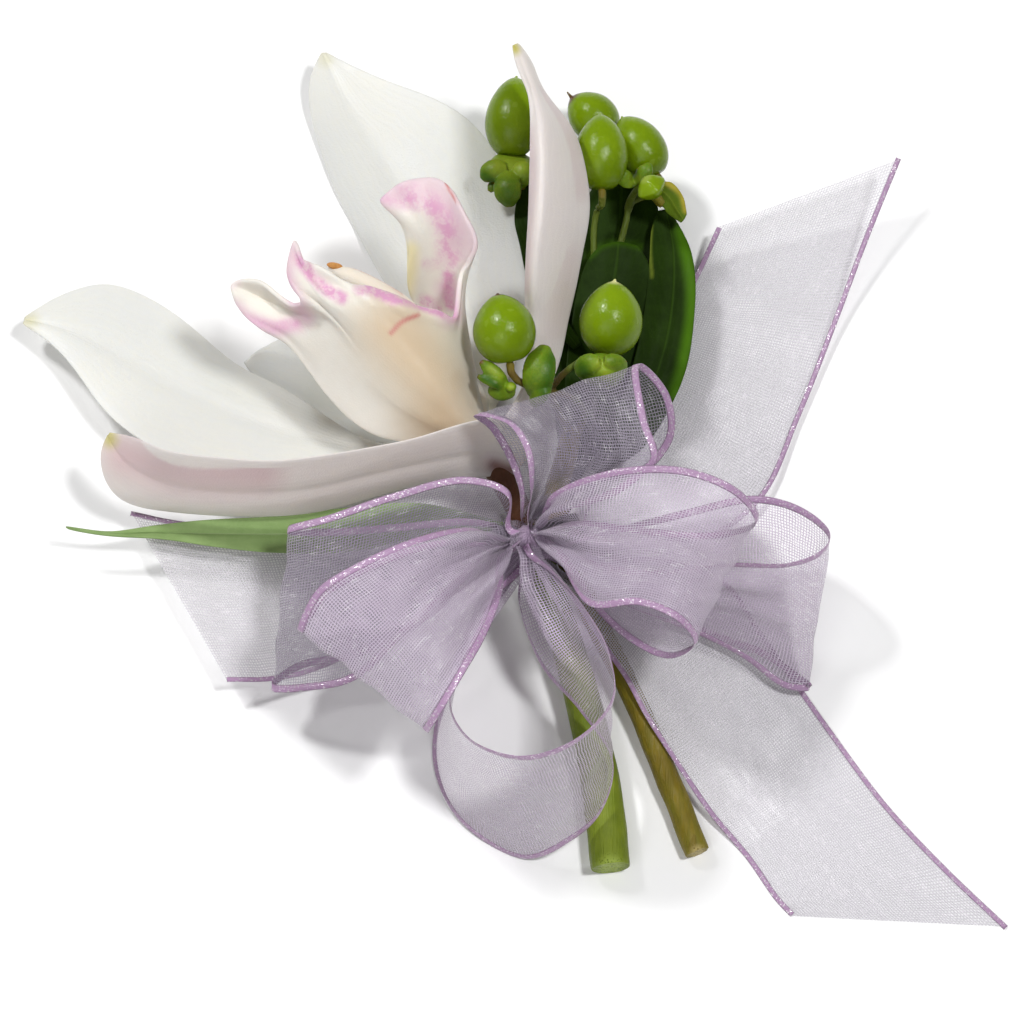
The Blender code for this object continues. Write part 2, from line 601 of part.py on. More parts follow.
def sprig():
    """The berry sprig: stem with twigs, berries, their cups, a bud and leaves."""
    green = finish("berry_green", (0.45, 0.62, 0.10), 0.25)
    leaf = finish("leaf_green", (0.10, 0.25, 0.06), 0.3)
    for name in BERRIES:
        berry(name, green)
    for name in CALYXES:
        calyx(name, leaf)
    for name, outlines in LEAVES.items():
        blade(name, outlines, LEAF_GRID, LEAF_THICKNESS, leaf)
    sprig_stem(finish("sprig_stem_brown", (0.32, 0.30, 0.10), 0.6))


def bow():
    """The bow's loops and tails, its knot, the tape round the stems and the wire that ties it."""
    organza = finish("organza_lilac", (0.73, 0.65, 0.76), 0.5)
    for name, edges in RIBBONS.items():
        ribbon(name, edges, organza)
    ball("bow_knot", KNOT, KNOT_RADII, organza)
    stem_tape(finish("tape_green", (0.22, 0.33, 0.12), 0.7))
    binding_wire(finish("wire_green", (0.20, 0.26, 0.16), 0.4))


def main():
    clear_scene()
    orchid()
    sprig()
    bow()


main()
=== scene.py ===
"""The looks of a corsage that lies on a table: an orchid bloom, a sprig of green berries with its
leaves, two cut stems and a bow of sheer ribbon with wired edges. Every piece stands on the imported
frame, in metres, +Z up, with the table at z = 0."""

import math

import bmesh
import bpy
from bpy.props import FloatProperty, FloatVectorProperty, IntProperty, PointerProperty
import numpy as np
from mathutils import Euler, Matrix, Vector, noise


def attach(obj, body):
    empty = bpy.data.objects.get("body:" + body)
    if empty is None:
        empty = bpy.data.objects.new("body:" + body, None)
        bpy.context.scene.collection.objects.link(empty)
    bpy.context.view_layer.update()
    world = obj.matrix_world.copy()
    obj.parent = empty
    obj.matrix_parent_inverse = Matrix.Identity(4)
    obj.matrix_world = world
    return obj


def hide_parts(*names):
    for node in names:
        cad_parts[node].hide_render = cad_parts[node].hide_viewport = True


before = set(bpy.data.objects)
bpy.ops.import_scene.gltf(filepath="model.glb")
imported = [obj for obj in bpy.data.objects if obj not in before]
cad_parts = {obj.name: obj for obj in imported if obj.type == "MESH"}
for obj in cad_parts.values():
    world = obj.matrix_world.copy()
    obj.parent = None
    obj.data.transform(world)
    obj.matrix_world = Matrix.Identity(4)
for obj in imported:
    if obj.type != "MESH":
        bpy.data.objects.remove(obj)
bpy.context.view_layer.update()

bl_info = {
    "name": "Corsage",
    "version": (1, 0, 0),
    "blender": (4, 5, 0),
    "location": "3D View > Sidebar > Corsage",
    "description": "Models an orchid corsage with green berries and a bow of sheer ribbon",
    "category": "Add Mesh",
}

# The picture that the outlines are traced from, and how it looks down on the table
PICTURE_CENTRE = 512
PICTURE_SIZE = 1024
RIBBON_WIDTH = 0.025
RIBBON_WIDTH_IN_PICTURE = 174
PICTURE_UNIT = RIBBON_WIDTH / RIBBON_WIDTH_IN_PICTURE
VIEW_DISTANCE = 0.80
VIEW_RISE = math.radians(70)
VIEW_HEIGHT = 0.012
MIDDLE_X = -0.00076
MIDDLE_Y = 0.00849
SENSOR = 36

# Outlines: each point is across and down in the picture, and millimetres over the table.
# A petal or leaf has an edge, its rib and its other edge, each from the base to the tip.
PETALS = {
    "petal_left": (
        [(467, 441, 11.8), (420, 446, 8), (372, 441, 6), (300, 400, 4.5), (240, 366, 3.5),
         (200, 334, 3), (150, 298, 3), (105, 282, 3.5), (60, 296, 4), (24, 319, 5)],
        [(467, 446, 11.4), (400, 453, 8.5), (330, 443, 7), (260, 425, 6), (180, 392, 5),
         (110, 350, 5.5), (60, 328, 6), (23, 320.5, 5.4)],
        [(467, 451, 11.6), (420, 468, 9), (360, 482, 8.5), (290, 488, 8.2), (210, 478, 8.2),
         (150, 447, 8), (110, 415, 7.8), (60, 352, 6.5), (22, 323, 5.8)]),
    "petal_upper_left": (
        [(472, 431, 10.2), (455, 390, 8), (420, 340, 5), (385, 285, 3.5), (350, 222, 0.6),
         (324, 165, 0.8), (311, 120, 2), (309, 78, 4), (322, 52, 6)],
        [(478, 432, 10), (474, 400, 9.3), (465, 340, 7.5), (445, 280, 6.5), (415, 210, 5.5),
         (380, 150, 5.5), (345, 95, 6), (324, 52, 6.2)],
        [(484, 432, 10.3), (500, 400, 11.5), (520, 350, 12), (527, 290, 11.5), (523, 240, 10),
         (512, 190, 8.6), (495, 150, 8.2), (468, 118, 8.4), (430, 96, 8.6), (385, 80, 8.4),
         (345, 62, 7.4), (326, 52, 6.5)]),
    "sepal_lower_left": (
        [(532, 450, 12.5), (509, 418, 18.5), (482, 419, 23.4), (450, 428, 24.6), (415, 439, 25), (365, 449, 26),
         (315, 456, 27), (265, 459, 27), (216, 457, 27), (166, 451, 25), (133, 437, 20),
         (109, 432, 16)],
        [(524, 464, 12.2), (500, 449, 14.5), (468, 455, 16), (430, 462, 17), (370, 475, 17), (300, 490, 16.5),
         (232, 492, 16), (170, 485, 15.5), (125, 462, 15.5), (108, 434, 16)],
        [(514, 476, 11.8), (494, 476, 11.8), (466, 480, 11.5), (431, 485, 10.5), (381, 497, 9.5), (332, 510, 8.5),
         (282, 518, 8), (232, 519, 8), (182, 515, 8), (139, 510, 8.5), (119, 502, 9.5),
         (106, 485, 11), (101, 466, 13), (101, 446, 15), (108, 434, 16)]),
    "sepal_upper_right": (
        [(495, 434, 17.3), (524, 385, 19.5), (530, 340, 20), (523, 300, 23), (522, 270, 26),
         (523, 250, 29), (527, 211, 31), (530, 173, 32), (532, 135, 33), (532, 109, 33),
         (527, 91, 33), (519, 73, 32), (514, 58, 31), (512, 45, 30)],
        [(498, 438, 16.1), (533, 375, 19.4), (534, 320, 23), (534, 270, 29), (539, 220, 33),
         (542, 170, 34), (540, 120, 34), (527, 75, 31.5), (515, 44, 30)],
        [(501, 443, 15), (548, 390, 17), (565, 347, 18), (573, 308, 18.5), (583, 262, 19),
         (588, 224, 20), (588, 199, 20.8), (583, 163, 21.5), (573, 130, 22.3), (558, 107, 23.5),
         (542, 86, 25), (532, 58, 26.5), (524, 50, 28), (517, 43, 30)]),
    "sepal_back": (
        [(478, 453, 9.2), (425, 452, 4), (360, 440, 1), (300, 410, 0.4), (255, 378, 0.4),
         (243, 362, 1)],
        [(484, 449, 9.1), (430, 402, 4), (370, 372, 0.8), (310, 358, 0.4), (265, 352, 0.6),
         (248, 358, 1)],
        [(490, 445, 9.2), (470, 392, 5.4), (430, 340, 1.5), (380, 315, 0.4), (330, 318, 0.4),
         (290, 334, 0.5), (258, 350, 1)]),
}

# The lip: lines from its narrow base to its rim, taken in turn round its open trough
LIP_LINES = [
    [(463, 445, 16), (412, 443, 17.5), (368, 433, 18.5), (330, 400, 19.5), (305, 366, 21),
     (290, 343, 22.8), (272, 333, 23.6)],
    [(463.9, 444.1, 16.4), (415.7, 438.2, 18.6), (372.7, 426.4, 19.7), (335.8, 394.5, 20.6),
     (310.7, 359.2, 22.1), (290, 337, 23.6), (262, 326, 24.6), (246, 319, 25.2)],
    [(465, 443, 16.7), (419, 434, 19.6), (378, 419, 21), (342, 388, 21.8), (317, 352, 23.4),
     (291, 331, 24.6), (258, 317, 25.4), (236, 308, 25.8)],
    [(465.9, 442.2, 16.9), (422.1, 429.9, 20.6), (383, 412.1, 22.2), (347.5, 381, 23),
     (322.6, 345.7, 24.7), (294, 323, 25.2), (258, 303, 25.4), (229, 296, 26.6)],
    [(465.9, 442.2, 16.9), (423.3, 428.1, 21), (384.8, 409.6, 22.6), (350.1, 377.4, 23.7),
     (326, 341.9, 25.5), (298, 320, 25.6), (262, 299, 25), (227, 283, 27.4)],
    [(466.4, 441.8, 17), (425.5, 425.2, 21.8), (387, 406.6, 23.1), (353.2, 373, 24.4),
     (330, 337.3, 26.4), (304, 317, 26.2), (275, 301, 25.4), (248, 276, 28.6)],
    [(467.5, 440.8, 17.2), (426.7, 423.5, 22.2), (388.7, 404.2, 23.5), (356.3, 368.5, 25.2),
     (333.7, 333.4, 27.3), (312, 316, 26.8), (287, 306, 26.6), (264, 281, 28.8)],
    [(467.5, 440.8, 17.2), (427.4, 422.6, 22.4), (389.6, 403, 23.7), (357.9, 366.3, 25.6),
     (335.3, 331.7, 27.6), (315, 316, 27.4), (294, 309, 27.8), (277, 297, 29)],
    [(467.5, 440.8, 17.2), (427.6, 422.2, 22.5), (390.5, 401.8, 23.9), (359.5, 364.1, 25.9),
     (337, 330.1, 28), (318, 315, 28.2), (302, 309, 28.8), (288, 305.5, 29.4)],
    [(468.7, 439.9, 17.4), (430.3, 418.7, 23.3), (394.6, 396.3, 24.8), (363.2, 359.4, 26.7),
     (341.2, 326.2, 28.9), (321, 310, 29.2), (306, 304, 30.4), (298, 303, 30.8)],
    [(468.7, 439.9, 17.4), (431.2, 417.5, 23.5), (396.3, 393.9, 25.1), (364.6, 357.8, 27),
     (342.8, 324.9, 29.1), (321, 307, 29.9), (304, 297, 31), (294, 293, 31.6)],
    [(469.9, 438.9, 17.5), (432.7, 415.7, 23.9), (398.1, 391.7, 25.5), (366.4, 355.7, 27.4),
     (344.4, 323.8, 29.4), (323, 304, 30.3), (301, 290, 31.6), (284, 274, 32.4)],
    [(471, 438, 17.6), (435, 413, 24.3), (401, 388, 26), (369, 353, 27.8), (347, 322, 29.8),
     (325, 303, 31.4), (303, 283, 31.8), (287, 254, 33.6)],
    [(471.8, 437.4, 17.6), (437.6, 410.3, 24.6), (404.4, 383.9, 26.6), (372.4, 350, 28.3),
     (349.9, 320.4, 30.2), (328, 304, 32), (307, 281, 31.6), (294, 235, 34.8)],
    [(472.9, 436.7, 17.6), (440.8, 407.2, 24.9), (407.1, 380.6, 27), (376, 347.2, 28.8),
     (354, 318.5, 30.7), (332, 305, 32.3), (313, 284, 31.4), (301, 255, 34)],
    [(474, 435.9, 17.6), (442.9, 405.2, 25), (410.4, 376.8, 27.5), (380, 344.4, 29.2),
     (357.7, 317.1, 31), (337, 305, 32.5), (320, 286, 31.2), (309, 260, 33.4)],
    [(475, 435, 17.6), (446, 402, 25.1), (416, 371, 28), (387, 340, 29.8), (366, 315, 31.5),
     (347, 299, 32.7), (337, 285, 31.4), (325, 267, 33)],
    [(475.9, 433.8, 17.6), (448.3, 399.1, 25), (421.4, 366.2, 28.1), (393, 336, 30),
     (373.9, 313.6, 31.6), (362, 298, 32.8), (352, 284, 32)],
    [(477, 432, 17.4), (450, 397, 24.8), (427, 362, 27.8), (401, 332, 29.9), (388, 313, 31.2),
     (379, 302, 32.4), (373, 293, 32.2), (370, 286, 31.3)],
    [(477.8, 430.7, 17.2), (453.9, 393.8, 24.4), (434.1, 357.9, 27.1), (413.6, 330.2, 29.2),
     (403.8, 315.3, 30.5), (398, 307, 31.6), (395, 301, 31.5), (394, 295, 30.7)],
    [(479, 429, 16.7), (458, 391, 23.8), (441, 355, 26.2), (427, 330, 28.1), (421, 319, 29.3),
     (419, 312, 30.2), (417, 308, 30.1), (416, 303, 29.3)],
    [(480, 427.9, 16.2), (462.2, 388.7, 22.6), (450.4, 353.2, 24.7), (443.6, 332, 26.3),
     (442.1, 325.4, 27.1), (438, 318, 28.4), (438, 315, 28.4), (437, 310, 27.6)],
    [(481, 427, 15.7), (466, 387, 21.2), (458, 352, 23.2), (455, 332, 24.6), (455, 325, 25.4),
     (455, 321, 26), (456, 318, 26.2)],
    [(482.4, 425.6, 15), (471, 384.8, 19.2), (463.8, 349.3, 21.1), (460.1, 324.8, 22.5),
     (460.4, 306.6, 23.9), (460, 285, 24.4), (461, 267, 26)],
    [(483, 425, 14.7), (473, 384, 18.4), (466, 348, 20.2), (462, 320, 21.4), (462, 292, 23),
     (466, 268, 25.4), (471, 260, 27.4)],
    [(484, 424, 14.5), (474, 383, 17.6), (468, 347, 19.2), (463, 316, 20.6), (463, 285, 22.4),
     (470, 264, 25.6), (478, 243, 29.2)],
    [(486, 422, 14.1), (476, 380, 15), (470, 342, 17), (463, 305, 19), (460, 268, 23),
     (462, 236, 28), (467, 214, 30.8)],
    [(486, 421, 13.8), (475, 379, 13.6), (466, 341, 15.6), (457, 302, 18), (453, 265, 23),
     (450, 222, 28.6), (453, 187, 31.2)],
    [(487, 420, 13.5), (473, 378, 12.6), (463, 340, 14.6), (451, 300, 17.4), (445, 262, 23),
     (437, 215, 29), (438, 175, 31)],
    [(487, 419, 13.3), (472, 378, 12.2), (460, 339, 14.2), (447, 299, 17.2), (440, 262, 23),
     (430, 215, 29), (418, 175, 31.2)],
    [(487, 419, 13.2), (471, 378, 12), (457, 339, 14), (444, 299, 17), (435, 262, 23),
     (423, 217, 29), (398, 180, 31)],
    [(487, 418, 13), (469, 377, 11.7), (453, 338, 13.6), (438, 300, 16.8), (429, 264, 22.8),
     (417, 222, 28.6), (384, 191, 30.4)],
    [(487, 418, 12.9), (467, 377, 11.5), (450, 338, 13.3), (434, 301, 16.6), (425, 266, 22.4),
     (412, 228, 28.2), (376, 200, 29.8)],
    [(487, 417, 12.6), (464, 376, 11.2), (444, 338, 13), (424, 303, 16.2), (417, 272, 21.6),
     (411, 243, 26), (398, 212, 28.4)],
    [(487, 416, 12.4), (461, 376, 11), (438, 338, 12.5), (413, 306, 15.6), (406, 286, 19.6),
     (408, 266, 22.6), (412, 250, 24.8)],
]
COLUMN_PATH = [(480, 428, 12.3), (470, 398, 14.5), (452, 368, 17.5), (424, 330, 21.5),
               (399, 304, 25), (381, 292, 26.4), (363, 282, 27.2), (345, 274, 27.4), (329, 268, 27)]
COLUMN_RADII = (0.0014, 0.0024, 0.0023, 0.0019, 0.0018, 0.0018, 0.0017, 0.0015, 0.0014, 0.0013,
                0.0005)
ANTHER_CAP = (335, 266, 27.9)
ANTHER_CAP_RADII = (0.0012, 0.0005, 0.0004)

LEAVES = {
    "leaf_right": (
        [(590, 470, 7), (608, 430, 8), (628, 380, 8.4), (641, 326, 8.6), (647, 288, 8.8),
         (649, 255, 8.8), (651, 228, 8.6), (658, 210, 8.4)],
        [(595, 472, 6.4), (625, 440, 6.6), (650, 390, 6.8), (666, 340, 7), (673, 290, 7.2),
         (673, 250, 7.6), (669, 224, 8), (664, 209, 8.4)],
        [(600, 475, 6), (642, 450, 6), (672, 405, 6.4), (688, 364, 6.8), (695, 313, 7.2),
         (696, 280, 7.4), (690, 246, 7.8), (670, 210, 8.4)]),
    "leaf_middle": (
        [(555, 514, 6), (562, 470, 5), (556, 430, 6), (555, 380, 6.5), (562, 330, 6.5), (570, 285, 6.5),
         (577, 245, 6.5), (582, 212, 6.5), (592, 186, 7), (606, 175, 7)],
        [(562, 514, 5.6), (572, 471, 5), (582, 435, 4.5), (592, 385, 4.5), (602, 335, 4.8), (610, 290, 5.2),
         (616, 250, 5.6), (620, 215, 6.2), (622, 176, 7)],
        [(570, 514, 5.4), (584, 472, 5), (605, 440, 5), (630, 395, 5), (645, 345, 5.2), (653, 300, 5.6),
         (658, 262, 6.2), (660, 225, 6.4), (655, 192, 7), (640, 177, 7)]),
    "leaf_back": (
        [(574, 350, 9), (548, 325, 12), (528, 280, 12.5), (518, 240, 12.5), (514, 217, 12),
         (518, 195, 11.4), (527, 172, 11)],
        [(578, 347, 9.2), (556, 320, 11.8), (540, 280, 12), (533, 240, 12), (530, 205, 11.6),
         (531, 172, 11)],
        [(582, 344, 9.4), (565, 315, 11.6), (552, 280, 11.6), (548, 240, 11.4), (547, 210, 11.2),
         (543, 188, 11), (535, 172, 11)]),
    "leaf_small": (
        [(660, 182, 14.4), (671, 182, 14.6), (683, 196, 13.8), (687, 214, 12.6)],
        [(658, 188, 14.2), (667, 195, 14), (676, 207, 13), (684, 220, 12.2)],
        [(656, 194, 14), (661, 204, 13.6), (668, 214, 12.4), (681, 223, 12)]),
    "narrow_leaf": (
        [(508, 524, 8.4), (420, 503, 7), (340, 508, 6.5), (290, 515, 6), (200, 520, 6),
         (150, 526, 6.5), (110, 532, 7), (65, 526, 8)],
        [(510, 527, 8), (425, 517, 6), (345, 530, 5.5), (290, 534, 5.2), (215, 534, 5.4),
         (160, 533, 6), (110, 534, 6.8), (65, 527, 8)],
        [(510, 530, 8), (430, 536, 7), (350, 552, 6.5), (285, 553, 6.5), (230, 547, 6.5),
         (170, 540, 6.8), (110, 536, 7.2), (66, 528, 8)]),
}

# Berries: middle, tip direction point, width and length in picture units
BERRIES = {
    "berry_1": ((513, 119, 14.5), (516, 78, 15.5), 57, 84),
    "berry_2": ((593, 117, 8.5), (572, 98, 9.5), 50, 58),
    "berry_3": ((601, 154, 16.5), (600, 112, 18), 55, 78),
    "berry_4": ((640, 148, 11.3), (622, 118, 12.3), 52, 70),
    "berry_5": ((504, 330, 27), (498, 298, 29), 63, 69),
    "berry_6": ((611, 320, 17.5), (614, 284, 20), 64, 75),
    "berry_bud": ((651, 187, 16.5), (644, 176, 18), 29, 26),
}
CALYXES = ("berry_1", "berry_4", "berry_5", "berry_6")
CALYX_REACH = math.radians(62)

# Stems and twigs
ORCHID_STEM = [(611, 868, 2.9), (600, 780, 3.2), (580, 690, 4.5), (553, 600, 6.5),
               (530, 535, 8), (512, 495, 9.5), (499, 470, 10.8), (491, 452, 11.8),
               (485, 438, 12.3)]
SPRIG_STEM = [(698, 853, 1.75), (660, 760, 2.4), (630, 690, 3.6), (590, 610, 5),
              (562, 540, 6.5), (556, 500, 7.5), (572, 440, 5.5), (590, 380, 2.8),
              (600, 310, 2.6), (604, 265, 2.6)]
# Twigs: the berry that each one carries, and its way there from the stem
TWIGS = {
    "berry_1": [(600, 295, 2.6), (576, 245, 4), (540, 205, 9)],
    "berry_2": [(604, 265, 2.6), (612, 215, 4.4), (620, 165, 6.2)],
    "berry_3": [(602, 300, 2.6), (596, 272, 7.6), (594, 250, 8.2), (594, 229, 9.2),
                (597, 210, 10.6)],
    "berry_4": [(606, 300, 2.6), (614, 272, 7.2), (619, 250, 7.8), (626, 222, 9),
                (631, 203, 9.8)],
    "berry_bud": [(628, 210, 9.2), (633, 195, 12), (641, 188, 14)],
    "berry_5": [(575, 440, 6), (584, 412, 13), (568, 396, 19), (540, 390, 21.5)],
    "berry_6": [(572, 435, 6), (552, 396, 14), (561, 376, 19), (576, 364, 20.6), (590, 356, 20)],
}

# Ribbons: two edges, point for point, along the length
RIBBONS = {
    "bow_loop_top": (
        [(528, 519, 20), (531, 487, 27), (526, 450, 30), (508, 423, 31), (475, 415, 29.5),
         (492, 430, 25), (508, 457, 23), (520, 490, 20), (521, 518, 16)],
        [(534, 518, 20), (590, 487, 28), (655, 462, 31), (645, 418, 33), (639, 364, 30),
         (668, 395, 25), (671, 440, 21), (620, 490, 18), (535, 517, 16)]),
    "bow_loop_left_back": (
        [(511, 528, 18), (509, 492, 21), (465, 478, 22), (392, 495, 21), (330, 516, 19),
         (288, 528, 16), (330, 530, 13), (400, 525, 12.5), (470, 520, 13), (508, 529, 14.5)],
        [(504, 535, 15.5), (470, 575, 15), (410, 628, 15), (354, 679, 13), (310, 689, 11),
         (272, 689, 8), (300, 668, 7.5), (360, 655, 8), (440, 610, 11), (502, 537, 13.5)]),
    "bow_loop_left_front": (
        [(505, 541, 20), (471, 528, 28), (415, 539, 33), (360, 563, 34), (318, 590, 32),
         (298, 630, 27), (322, 594, 24), (372, 564, 22.5), (446, 540, 20), (504, 544, 16.5)],
        [(506, 552, 20), (501, 590, 26), (484, 636, 31), (462, 675, 33), (440, 712, 32),
         (427, 732, 28), (444, 704, 24), (468, 662, 22.5), (492, 604, 20), (507, 557, 16.5)]),
    "bow_loop_right_front": (
        [(539, 525, 20), (551, 495, 28), (612, 471, 33), (683, 469, 34), (737, 490, 32),
         (757, 519, 27), (715, 533, 22), (641, 529, 20), (579, 522, 19), (547, 529, 16.5)],
        [(541, 538, 20), (558, 564, 25), (590, 605, 28), (640, 604, 31), (678, 620, 30),
         (694, 643, 26), (668, 657, 21), (630, 640, 18), (595, 607, 17), (552, 541, 16.5)]),
    "bow_loop_right_back": (
        [(553, 548, 14.8), (640, 570, 15.5), (733, 564, 19), (790, 564, 20), (822, 551, 19.5),
         (830, 534, 18), (800, 508, 15), (754, 497, 13), (690, 510, 12), (620, 528, 12.4),
         (557, 545, 12.8)],
        [(553, 556, 13.6), (620, 600, 10), (702, 635, 6), (745, 658, 4), (785, 687, 2.6),
         (809, 689, 2.6), (795, 678, 2.6), (763, 656, 2.8), (720, 640, 4), (640, 600, 8.6),
         (557, 552, 12.2)]),
    "bow_loop_bottom": (
        [(537, 554, 18.6), (555, 570, 22), (586, 610, 25), (609, 655, 29), (612, 698, 30),
         (580, 736, 29), (524, 756, 25.5), (474, 742, 24), (451, 707, 21), (462, 655, 17),
         (485, 600, 14), (515, 563, 13)],
        [(528, 562, 16.8), (519, 600, 12), (540, 665, 11), (580, 712, 9), (612, 762, 8),
         (600, 812, 7.5), (570, 840, 5), (524, 858, 0.6), (462, 822, 0.6), (435, 768, 0.6),
         (440, 705, 2), (512, 568, 10.5)]),
    "ribbon_tail_upper_right": (
        [(578, 531, 4.4), (597, 470, 2), (625, 410, 1.5), (655, 355, 1), (680, 305, 1),
         (697, 272, 2), (718, 227, 5)],
        [(586, 529, 3.6), (700, 540, 2.5), (760, 500, 1.6), (800, 415, 1), (838, 318, 2),
         (868, 238, 5), (900, 159, 9)]),
    "ribbon_tail_lower_right": (
        [(560, 585, 10.6), (580, 608, 9), (603, 645, 8), (627, 681, 6.8), (645, 715, 5.6),
         (668, 751, 4.5), (708, 811, 2), (745, 856, 0), (776, 900, 0), (791, 916, 0)],
        [(572, 577, 10.4), (614, 562, 6.8), (660, 560, 4), (725, 582, 2.5), (758, 628, 1),
         (786, 668, 0), (830, 730, 0), (886, 805, 0), (945, 868, 0), (1007, 927, 0)]),
    "ribbon_tail_left": (
        [(508, 541, 5), (450, 531, 4), (350, 530, 3), (250, 527, 3.5), (180, 522, 4),
         (131, 512, 5)],
        [(509, 552, 4.6), (460, 590, 3), (380, 640, 2.5), (310, 672, 2.5), (272, 680, 3),
         (227, 681, 5)]),
}

# The tie
KNOT = (529, 541, 16)
KNOT_RADII = (0.0024, 0.0024, 0.0036)
TAPE_PATH = [(554, 561, 6.9), (547, 543, 7.3), (541, 527, 7.9)]
TAPE_HALF_WIDTH = 0.0054
TAPE_HALF_HEIGHT = 0.0039

# Sizes that the frame's own pieces have
ORCHID_STEM_RADII = (0.0029, 0.0029, 0.0027, 0.0024, 0.0021, 0.0019, 0.0024)
SPRIG_STEM_RADIUS = 0.00175
TWIG_RADIUS = 0.0006
ORCHID_STEM_CUT = (611, 868, 2.9)
SPRIG_STEM_CUT = (698, 853, 1.75)

# Painted masks: strokes of picture points, their reach in millimetres and their strength.
# PETAL_SHADES is painted shade on the cream petals; on the two blush sepals it is their own pink,
# with painted shade along sepal_upper_right's crease and at sepal_lower_left's foot
PETAL_SHADES = {
    "petal_left": [([(330, 425, 7), (220, 380, 5)], 6, 0.2)],
    "petal_upper_left": [([(440, 300, 6), (420, 330, 5)], 8, 0.2)],
    "sepal_lower_left": [([(125, 455, 16), (180, 470, 17), (260, 470, 20)], 6, 0.8),
                         ([(492, 462, 13), (506, 464, 13), (524, 462, 12)], 2.4, 1.0)],
    "sepal_upper_right": [([(546, 95, 26), (566, 130, 23), (580, 190, 21)], 3.0, 0.4),
                          ([(528, 130, 33), (531, 175, 32), (527, 230, 30), (524, 290, 24)],
                           1.5, 0.55),
                          ([(570, 260, 20), (560, 330, 19)], 4, 0.3)],
    "sepal_back": [([(320, 400, 2), (380, 420, 4)], 7, 0.7)],
}
PETAL_TIPS = {
    "petal_left": [([(23, 320, 5), (30, 321, 5)], 2.2, 0.45)],
    "petal_upper_left": [([(322, 52, 6), (326, 58, 6)], 2.2, 0.3)],
    "sepal_lower_left": [([(109, 433, 16), (110, 440, 16)], 2.0, 0.8)],
    "sepal_upper_right": [([(513, 45, 30), (515, 49, 30)], 1.5, 1.0)],
    "sepal_back": [],
}
# sepal_lower_left's foot is painted brown: partly its own burgundy and partly painted shade under the bow
PETAL_FEET = {"sepal_lower_left": [([(494, 466, 12.5), (508, 470, 12), (528, 470, 12)], 1.8, 0.8)]}
LIP_PAINT = {
    "throat": [([(440, 412, 23), (432, 385, 25), (415, 355, 27), (396, 330, 28)], 10.0, 0.8),
               ([(452, 405, 22), (452, 380, 22)], 5, 0.7)],
    "yellow": [([(410, 250, 24), (408, 275, 21), (404, 294, 18)], 2.2, 0.9)],
    "flush": [([(234, 308, 25), (248, 319, 25), (275, 329, 24), (297, 324, 26)], 2.3, 1.0),
              ([(229, 288, 26), (238, 282, 27)], 1.0, 0.4),
              ([(290, 248, 34), (287, 275, 32.5), (297, 302, 30), (306, 318, 28)], 2.4, 0.9),
              ([(380, 198, 29.5), (410, 180, 31), (440, 186, 31), (462, 225, 29), (474, 246, 28)],
               5.0, 0.75),
              ([(448, 290, 22), (452, 314, 26)], 3.2, 0.9)],
    "marks": [([(252, 320, 25), (274, 327, 24), (294, 323, 26)], 1.4, 0.7),
              ([(286, 276, 32), (293, 300, 30)], 1.0, 0.5),
              ([(299, 258, 33), (309, 272, 32), (322, 286, 31.5), (342, 298, 32)], 1.5, 1.1),
              ([(360, 289, 31.5), (374, 291, 31.3), (393, 299, 30.8)], 1.5, 1.1),
              ([(394, 300, 30.7), (418, 306, 29.5), (438, 313, 28), (453, 318, 26.5)], 0.9,
               1.0),
              ([(380, 197, 30), (398, 199, 29.5), (414, 190, 30)], 1.9, 0.5),
              ([(406, 196, 30), (430, 204, 29), (446, 227, 28), (450, 258, 25)], 3.0, 0.8),
              ([(428, 264, 22), (448, 264, 22)], 1.5, 0.5),
              ([(449, 274, 23), (449, 300, 21), (452, 316, 25)], 1.6, 1.0),
              ([(424, 300, 17), (438, 307, 19)], 1.4, 0.9)],
    "streak": [([(391, 333, 29.5), (402, 322, 30), (418, 315, 29.8)], 0.6, 0.9),
               ([(446, 184, 31), (456, 201, 31)], 0.35, 1.0)],
}
# The shorter leaf that lies over leaf_middle's upper end, part of the same piece
FRONT_LEAF = (
    [(574, 470, 6), (566, 430, 7.5), (565, 380, 8), (570, 330, 8.6), (578, 285, 9),
     (588, 258, 9.3), (601, 245, 9.4)],
    [(578, 471, 6), (588, 435, 6.5), (598, 385, 6.6), (606, 335, 7.4), (612, 290, 8.2),
     (617, 260, 8.8), (618, 241, 9.3)],
    [(582, 472, 6), (606, 440, 6.5), (630, 395, 6.6), (644, 345, 7.4), (650, 300, 8.2),
     (650, 265, 8.8), (638, 245, 9.3)])
# Lighter green strokes: on leaf_middle a painted highlight along the front leaf's edge, on leaf_right a lighter
# band along its right edge
LEAF_LIGHTER_STROKES = {
    "leaf_right": [([(675, 395, 7), (687, 345, 7), (692, 300, 7.4), (688, 262, 7.8),
                     (680, 232, 8)], 1.6, 1.0)],
    "leaf_middle": [([(590, 256, 8), (602, 246, 8.2), (618, 242, 8), (640, 247, 8)], 1.0, 0.35)],
}
LEAF_EDGES = {
    "leaf_right": [([(651, 226, 8.6), (650, 250, 8.8), (652, 276, 8.8)], 0.5, 0.7)],
    "leaf_small": [([(668, 183, 14.6), (681, 193, 13.8), (686, 210, 12.8)], 0.9, 0.8)],
}
BERRY_STUBS = {"berry_1": 0.0003, "berry_2": 0.0013, "berry_3": 0.0002, "berry_4": 0.0003,
               "berry_5": 0.0002, "berry_6": 0.0004, "berry_bud": 0.0002}
BERRY_SCARS = {"berry_1": 0.0, "berry_2": 1.0, "berry_3": 0.0, "berry_4": 0.0,
               "berry_5": 1.0, "berry_6": 0.0, "berry_bud": 0.0}
BERRY_TIPS = {"berry_1": 0.15, "berry_2": 0.0, "berry_3": 0.0, "berry_4": 0.1,
              "berry_5": 0.0, "berry_6": 0.9, "berry_bud": 0.2}
